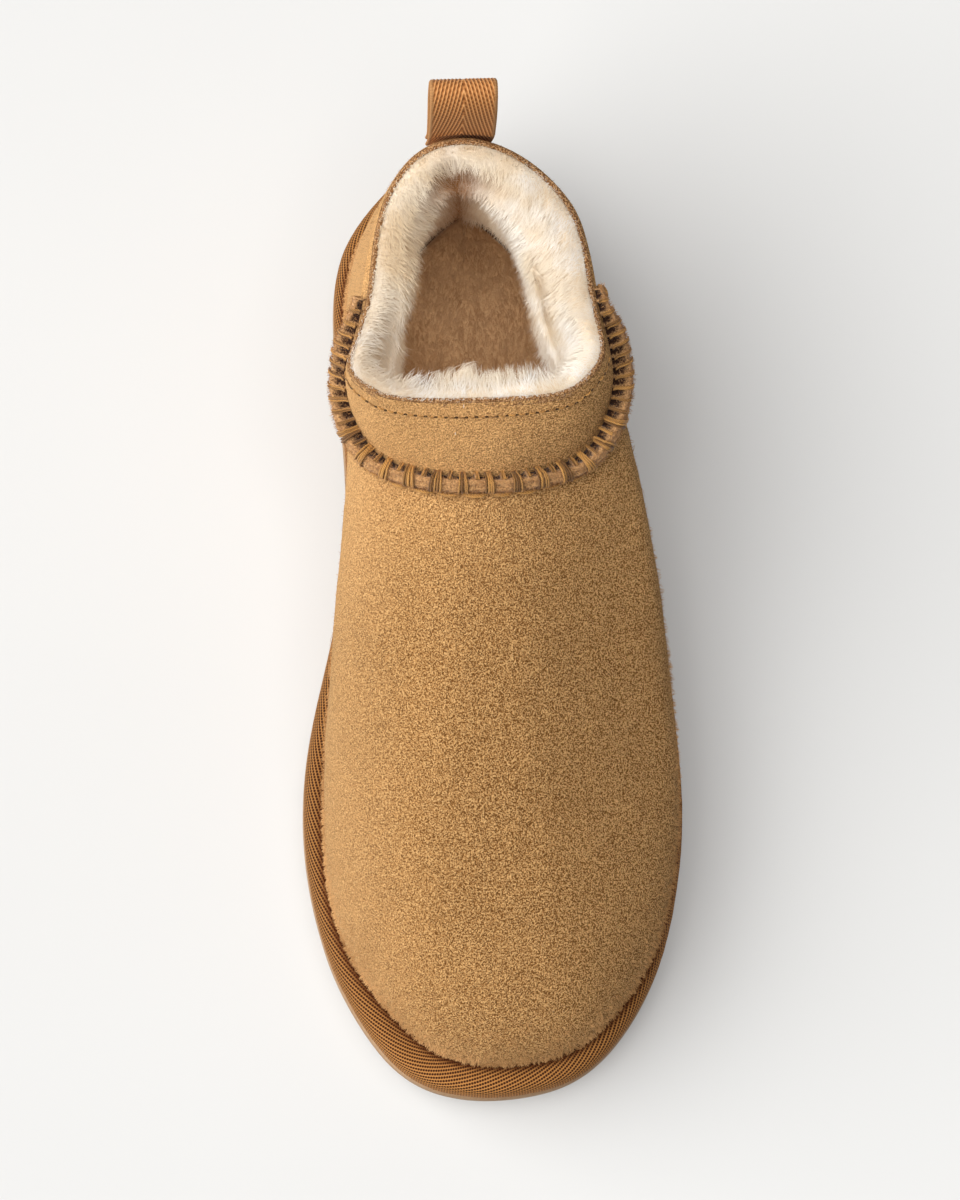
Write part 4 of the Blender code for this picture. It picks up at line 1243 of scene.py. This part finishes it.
def make_ridge():
    """The two suede edges raised as one ridge, hollowed between its rungs and painted with shade there,
    and its fuzz.
    """
    travel, root, normal, over = seam_line(RIDGE_STEP)
    total = travel[-1]
    turn = np.linspace(0, PI, RIDGE_SIDES)
    across, out, pinch = ridge_section(travel[:, None], total, turn)
    share = np.abs(np.mod(2 * travel / whip_pitch(total), 1.0) - 0.5)
    between = ease((share + 0.05 * wobble(root, 3.0, 43))[:, None], 0.38, 0.26)
    hollow = ease(turn, 0.70 * PI, 0.82 * PI) * between
    across = across - 1.2 * hollow
    out = out * (1 - 0.55 * hollow)
    root, normal, over = (values[:, None] for values in (root, normal, over))
    points = root + over * across[..., None] + normal * out[..., None]
    rough = 0.28 * wobble(points, 1.1, 41) + 0.30 * wobble(points, 4.0, 42)
    top = np.sin(turn) ** 0.5
    away = unit(points - root - 1.5 * normal)
    points = points + away * (rough * (0.3 + 0.7 * top))[..., None]
    groove = 0.4 * bell(turn - PI / 2, 0.10)
    points = points - normal * groove[:, None]
    # painted shade: darker in the hollows between the rungs, in the middle groove, down the sides and
    # where stitches pinch
    tones = 1.0 - 1.2 * hollow - 0.3 * groove - 0.2 * (1 - top) - 0.25 * pinch
    sunk = [points[:, [end]] - 2.2 * normal - 0.8 * side * over for end, side in ((0, -1), (-1, 1))]
    points = np.concatenate([sunk[0], points, sunk[1]], axis=1)
    tones = np.concatenate([tones[:, :1], tones, tones[:, -1:]], axis=1)
    faces = grid_faces(len(travel), RIDGE_SIDES + 2, wrap=False)
    ridge = new_piece("seam_ridge_edges", points, faces[:, ::-1], RIDGE_EDGE, tone=tones)
    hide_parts("seam_ridge")

    rng = np.random.default_rng(RANDOM_SEED + 4)
    row = rng.integers(0, len(travel) - 1, FUZZ_COUNT)
    place = rng.integers(int(0.12 * RIDGE_SIDES), int(0.88 * RIDGE_SIDES), FUZZ_COUNT)
    facing = away[row, place - 1]
    start = facing + rng.normal(0, 0.5, facing.shape)
    end = facing * 0.4 + rng.normal(0, 0.8, facing.shape)
    length = rng.uniform(0.6, 1.5, FUZZ_COUNT)
    paths = curved_paths(points[row, place], start, end, length, 3)
    shades = rng.uniform(0.3, 1.0, FUZZ_COUNT)[:, None] * np.array([0.6, 0.9, 1.1])
    fibre_piece("seam_ridge_fuzz", paths, 0.14, facing, RIDGE_FUZZ, shades, 0.5)


def make_whip_stitches():
    """Bundles of strands over the ridge, thread along its lower root, and rungs on its upper side."""
    travel, root, normal, over = seam_line(0.5)
    total = travel[-1]
    pitch = whip_pitch(total)
    rng = np.random.default_rng(RANDOM_SEED + 5)
    shapes, tones = [], []

    def put(along, across, out, radius, darkest=0.15):
        middle, aside, away = (at_travel(travel, values, along) for values in (root, over, normal))
        shapes.append(tube(middle + aside * across[:, None] + away * (out + 0.3)[:, None], radius))
        tones.append(rng.uniform(darkest, 1.0))

    for place in np.arange(1, round(total / pitch)) * pitch:
        if to_side(place, total) > 0.6:
            continue
        turn = np.linspace(0.02 * PI, 0.99 * PI, 15)
        strands = rng.integers(4, 6)
        skew = rng.normal(0.5, 0.45)
        for number in range(strands):
            offset = (number - (strands - 1) / 2) * 0.66 + rng.normal(0, 0.14)
            along = place + offset * (1 - 0.35 * (turn / PI) ** 2) + skew * (turn / PI - 0.5)
            along = np.clip(along + rng.normal(0, 0.05, len(turn)), 0, total)
            across, out, _ = ridge_section(along, total, turn)
            swell = 0.12 + 0.2 * rng.random() + 0.1 * np.sin(turn)
            grow = 1 + swell / np.maximum(np.hypot(across, out), 1.0)
            put(along, across * grow, out * grow + 0.1, STRAND * rng.uniform(0.75, 1.1))
    for place in np.arange(0, round(total / pitch) - 1) * pitch:
        for strand in range(2):
            share = np.linspace(0, 1, 9)
            along = place + pitch * share * rng.uniform(0.93, 1.05)
            bow = np.sin(PI * share)
            low = -RIDGE_HALF - 0.35 - 0.4 * bow * rng.uniform(0.2, 1.2) - 0.35 * strand
            rise = 0.7 - 1.1 * to_side(place, total) + 0.2 * strand
            put(along, low, rise + 2.0 * np.sqrt(bow), STRAND, 0.8)
    for place in np.arange(1, 2 * round(total / pitch)) * pitch / 2:
        turn = np.linspace((0.74 - 0.20 * to_side(place, total)) * PI, 0.97 * PI, 9)
        for number in range(3):
            lean = rng.normal(0, 0.4) * (turn / PI - 0.8)
            along = np.clip(place + (number - 1) * 0.34 + rng.normal(0, 0.12) + lean, 0, total)
            across, out, _ = ridge_section(along, total, turn)
            grow = 1 + 0.15 / np.maximum(np.hypot(across, out), 1.0)
            reach = np.append(across * grow, across[-1] + 0.9)
            put(np.append(along, along[-1]), reach, np.append(out * grow, 0.1), STRAND * 0.72)
    joined("whip_stitches", shapes, THREAD, tones)


# ---- the stitched row along the collar ----
STITCH_STATION = 118        # where the row starts and ends
STITCH_DROP = 4.0           # how far it runs below the rim
STITCH_PITCH = 2.7


def make_collar_stitches():
    """Short stitches below the front rim, each followed by a dark patch of painted shade for its needle
    hole.
    """
    angles = np.linspace(angle_at(1, STITCH_STATION), angle_at(-1, STITCH_STATION), 900)
    band = np.linalg.norm(outer_point(angles, 2.0) - outer_point(angles, 1.0), axis=-1)
    level = 2 - STITCH_DROP / band
    line = outer_point(angles, level)
    normal = outer_normal(angles, level)
    run = unit(np.gradient(line, axis=0))
    travel = lengths_along(line)
    rng = np.random.default_rng(RANDOM_SEED + 6)
    share = np.linspace(-1, 1, 7)[:, None]
    turn = ring_angles(8)[:, None]
    threads, holes, tones = [], [], []
    for place in np.arange(1.0, travel[-1] - 1.0, STITCH_PITCH):
        middle, out, way = (at_travel(travel, values, place) for values in (line, normal, run))
        cross = np.cross(out, way)
        path = middle + way * (share * 0.95) + out * (-0.2 + 0.42 * (1 - share ** 2))
        path = path + cross * (share * 0.16)
        threads.append(tube(path, 0.24 * rng.uniform(0.85, 1.1)))
        tones.append(rng.uniform(0.4, 1.0))
        hole = middle + way * 1.3
        rings = []
        for size, depth in ((1.0, 0.10), (0.7, 0.16), (0.25, 0.14)):
            ring = hole + way * (0.52 * size * np.cos(turn))
            rings.append(ring + cross * (0.34 * size * np.sin(turn)) + out * depth)
        holes.append((np.concatenate(rings), grid_faces(3, 8)))
    joined("collar_stitches", threads, THREAD, tones)
    joined("collar_stitch_hole_shade", holes, NEEDLE_HOLE_SHADE, np.zeros(len(holes)))


# ---- the pull loop ----
Fold = namedtuple("Fold", "back height follow")
LOOP_PATH = Fold(*np.transpose((        # follow is how much a fold takes on the heel's roundness
    (1.3, 88.0, 1.0), (1.3, 95.0, 1.0), (1.3, 102.0, 1.0), (1.5, 108.5, 1.0), (1.8, 114.0, 0.8),
    (2.0, 119.5, 0.5), (2.5, 125.0, 0.3), (3.5, 130.5, 0.1), (5.5, 134.9, 0.0), (7.9, 136.5, 0.0),
    (10.1, 135.1, 0.0), (11.1, 131.4, 0.0), (11.1, 127.0, 0.2), (10.3, 121.0, 0.4),
    (8.0, 114.6, 0.7), (5.0, 108.6, 1.0), (3.1, 102.0, 1.0), (3.1, 95.0, 1.0), (3.1, 88.0, 1.0),
)))
LOOP_LOW, LOOP_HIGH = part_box("pull_loop")
LOOP_HALF_WIDTH = (LOOP_HIGH.x - LOOP_LOW.x) / MM / 2 - 0.1
LOOP_CENTRE = ((LOOP_HIGH.x + LOOP_LOW.x) / 2 - AXIS_X) / MM
HEEL_RADIUS = 40.0
LOOP_COLUMNS = 56
LOOP_ROWS = 180
LOOP_HALF_THICK = 0.6
SELVAGE = 0.8


def make_pull_loop():
    """Herringbone webbing folded over, with ribs running down from its middle line."""
    heel = outer_point(np.zeros(60), np.linspace(0, 2, 60))
    knots = np.arange(len(LOOP_PATH.back), dtype=float)
    fine = np.linspace(0, knots[-1], LOOP_ROWS)
    back = spline(knots, LOOP_PATH.back, fine)
    height = spline(knots, LOOP_PATH.height, fine)
    follow = np.interp(fine, knots, LOOP_PATH.follow)
    station = np.interp(height, heel[:, 2], heel[:, 1]) - back
    path = np.stack([station, height], axis=-1)
    travel = lengths_along(path)
    drawn = lengths_along(path * (1.0, 0.45))[:, None]
    along = unit(np.gradient(path, axis=0))
    side = np.stack([-along[:, 1], along[:, 0]], axis=-1)
    across = np.linspace(-1, 1, LOOP_COLUMNS) * LOOP_HALF_WIDTH
    sag = HEEL_RADIUS - np.sqrt(HEEL_RADIUS ** 2 - across ** 2)
    reach = np.abs(across)
    rib = np.sin(TURN * (reach - RIB_SLOPE * drawn) / RIB_PITCH)
    inside = ease(LOOP_HALF_WIDTH - reach, SELVAGE, SELVAGE + 0.4)
    relief = 0.13 * rib * inside - 0.12 * bell(reach, 0.25)
    edge = np.sqrt(np.clip(1 - np.clip((reach - LOOP_HALF_WIDTH + 0.6) / 0.6, 0, 1) ** 2, 0, 1))
    thick = (LOOP_HALF_THICK + relief) * edge
    rows = []
    for face in (1, -1):
        for number in range(LOOP_COLUMNS)[::face]:
            plan = path + face * side * thick[:, number:number + 1]
            x = np.full(LOOP_ROWS, LOOP_CENTRE + across[number])
            rows.append(np.stack([x, plan[:, 0] + follow * sag[number], plan[:, 1]], axis=-1))
    points = np.stack(rows, axis=1)
    around = np.concatenate([reach, reach[::-1], reach[:1]])
    slanted = around - RIB_SLOPE * drawn
    uv = grid_uv(np.broadcast_to(travel[:, None], slanted.shape), slanted)
    tone = np.broadcast_to(np.concatenate([inside, inside[::-1]]), points.shape[:2])
    faces = grid_faces(*points.shape[:2])
    loop = new_piece("pull_loop_webbing", points, faces, WEBBING, uv, tone)
    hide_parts("pull_loop")

    shapes = []
    outer = points[:, -LOOP_COLUMNS:][:, ::-1]
    share = np.linspace(0, 1, 6)[:, None]
    out = np.array([0.0, -1.0, 0.0]) * (0.05 + 0.3 * np.sin(PI * share))
    for rise in (3.0, 6.2):
        row = LOOP_ROWS - 1 - int(rise / travel[-1] * LOOP_ROWS)
        for place in range(6, LOOP_COLUMNS - 6, 7):
            path = outer[row, place] * (1 - share) + outer[row, place + 5] * share + out
            shapes.append(tube(path, 0.28))
    joined("loop_stitches", shapes, THREAD, np.full(len(shapes), 0.5))


# ---- floor and light ----
FLOOR_REACH = 6.0           # metres from the middle to each side
Lamp = namedtuple("Lamp", "name energy degrees colour travel")
LAMPS = (                   # how wide each looks in degrees, and which way its light travels
    Lamp("key", 4.45, 75, (1.0, 0.995, 0.985), (0.745, 0.0, -0.667)),
    Lamp("overhead", 1.5, 36, (1.0, 0.995, 0.99), (0.0, 0.065, -1.0)),
)
ROOM_LIGHT = 0.05           # strength of the room's own light, and of its walls as they are seen
ROOM_SEEN = 0.96


def make_floor():
    look = Look("studio_floor", None, 0.9, gloss=0.1)
    look.set("Emission Color", (1.0, 0.99, 0.98, 1))
    look.set("Emission Strength", 0.14)
    grey = look.ramp(look.grains(240.0), (0.3, srgb(190, 190, 189)), (0.7, srgb(193, 193, 192)))
    mesh = bpy.data.meshes.new("studio_floor")
    corners = [(x * FLOOR_REACH, y * FLOOR_REACH, 0) for x, y in ((-1, -1), (1, -1), (1, 1), (-1, 1))]
    mesh.from_pydata(corners, [], [(0, 1, 2, 3)])
    mesh.materials.append(look.finish(grey))
    floor = placed("studio_floor", mesh)


def make_light():
    """A broad key from the medial side and a lamp overhead, in a pale room."""
    world = bpy.data.worlds.new("room")
    world.use_nodes = True
    tree = world.node_tree
    seen = node(tree, "LightPath").outputs["Is Camera Ray"]
    strength = node(tree, "MapRange", {"To Min": ROOM_LIGHT, "To Max": ROOM_SEEN}, {"Value": seen})
    background = tree.nodes["Background"]
    background.inputs["Color"].default_value = (1.0, 0.997, 0.992, 1)
    tree.links.new(strength.outputs[0], background.inputs["Strength"])
    bpy.context.scene.world = world
    for lamp in LAMPS:
        data = bpy.data.lights.new(lamp.name, "SUN")
        data.energy = lamp.energy
        data.angle = np.radians(lamp.degrees)
        data.color = lamp.colour
        light = placed(lamp.name, data)
        light.rotation_euler = Vector(lamp.travel).to_track_quat("-Z", "Y").to_euler()
    bpy.context.scene.view_settings.view_transform = "Standard"


make_camera()
suede_rings = make_suede_upper()
make_rim()
make_nap(suede_rings)
make_fleece()
make_tufts()
make_footbed()
make_tape()
make_outsole()
make_ridge()
make_whip_stitches()
make_collar_stitches()
make_pull_loop()
make_floor()
make_light()
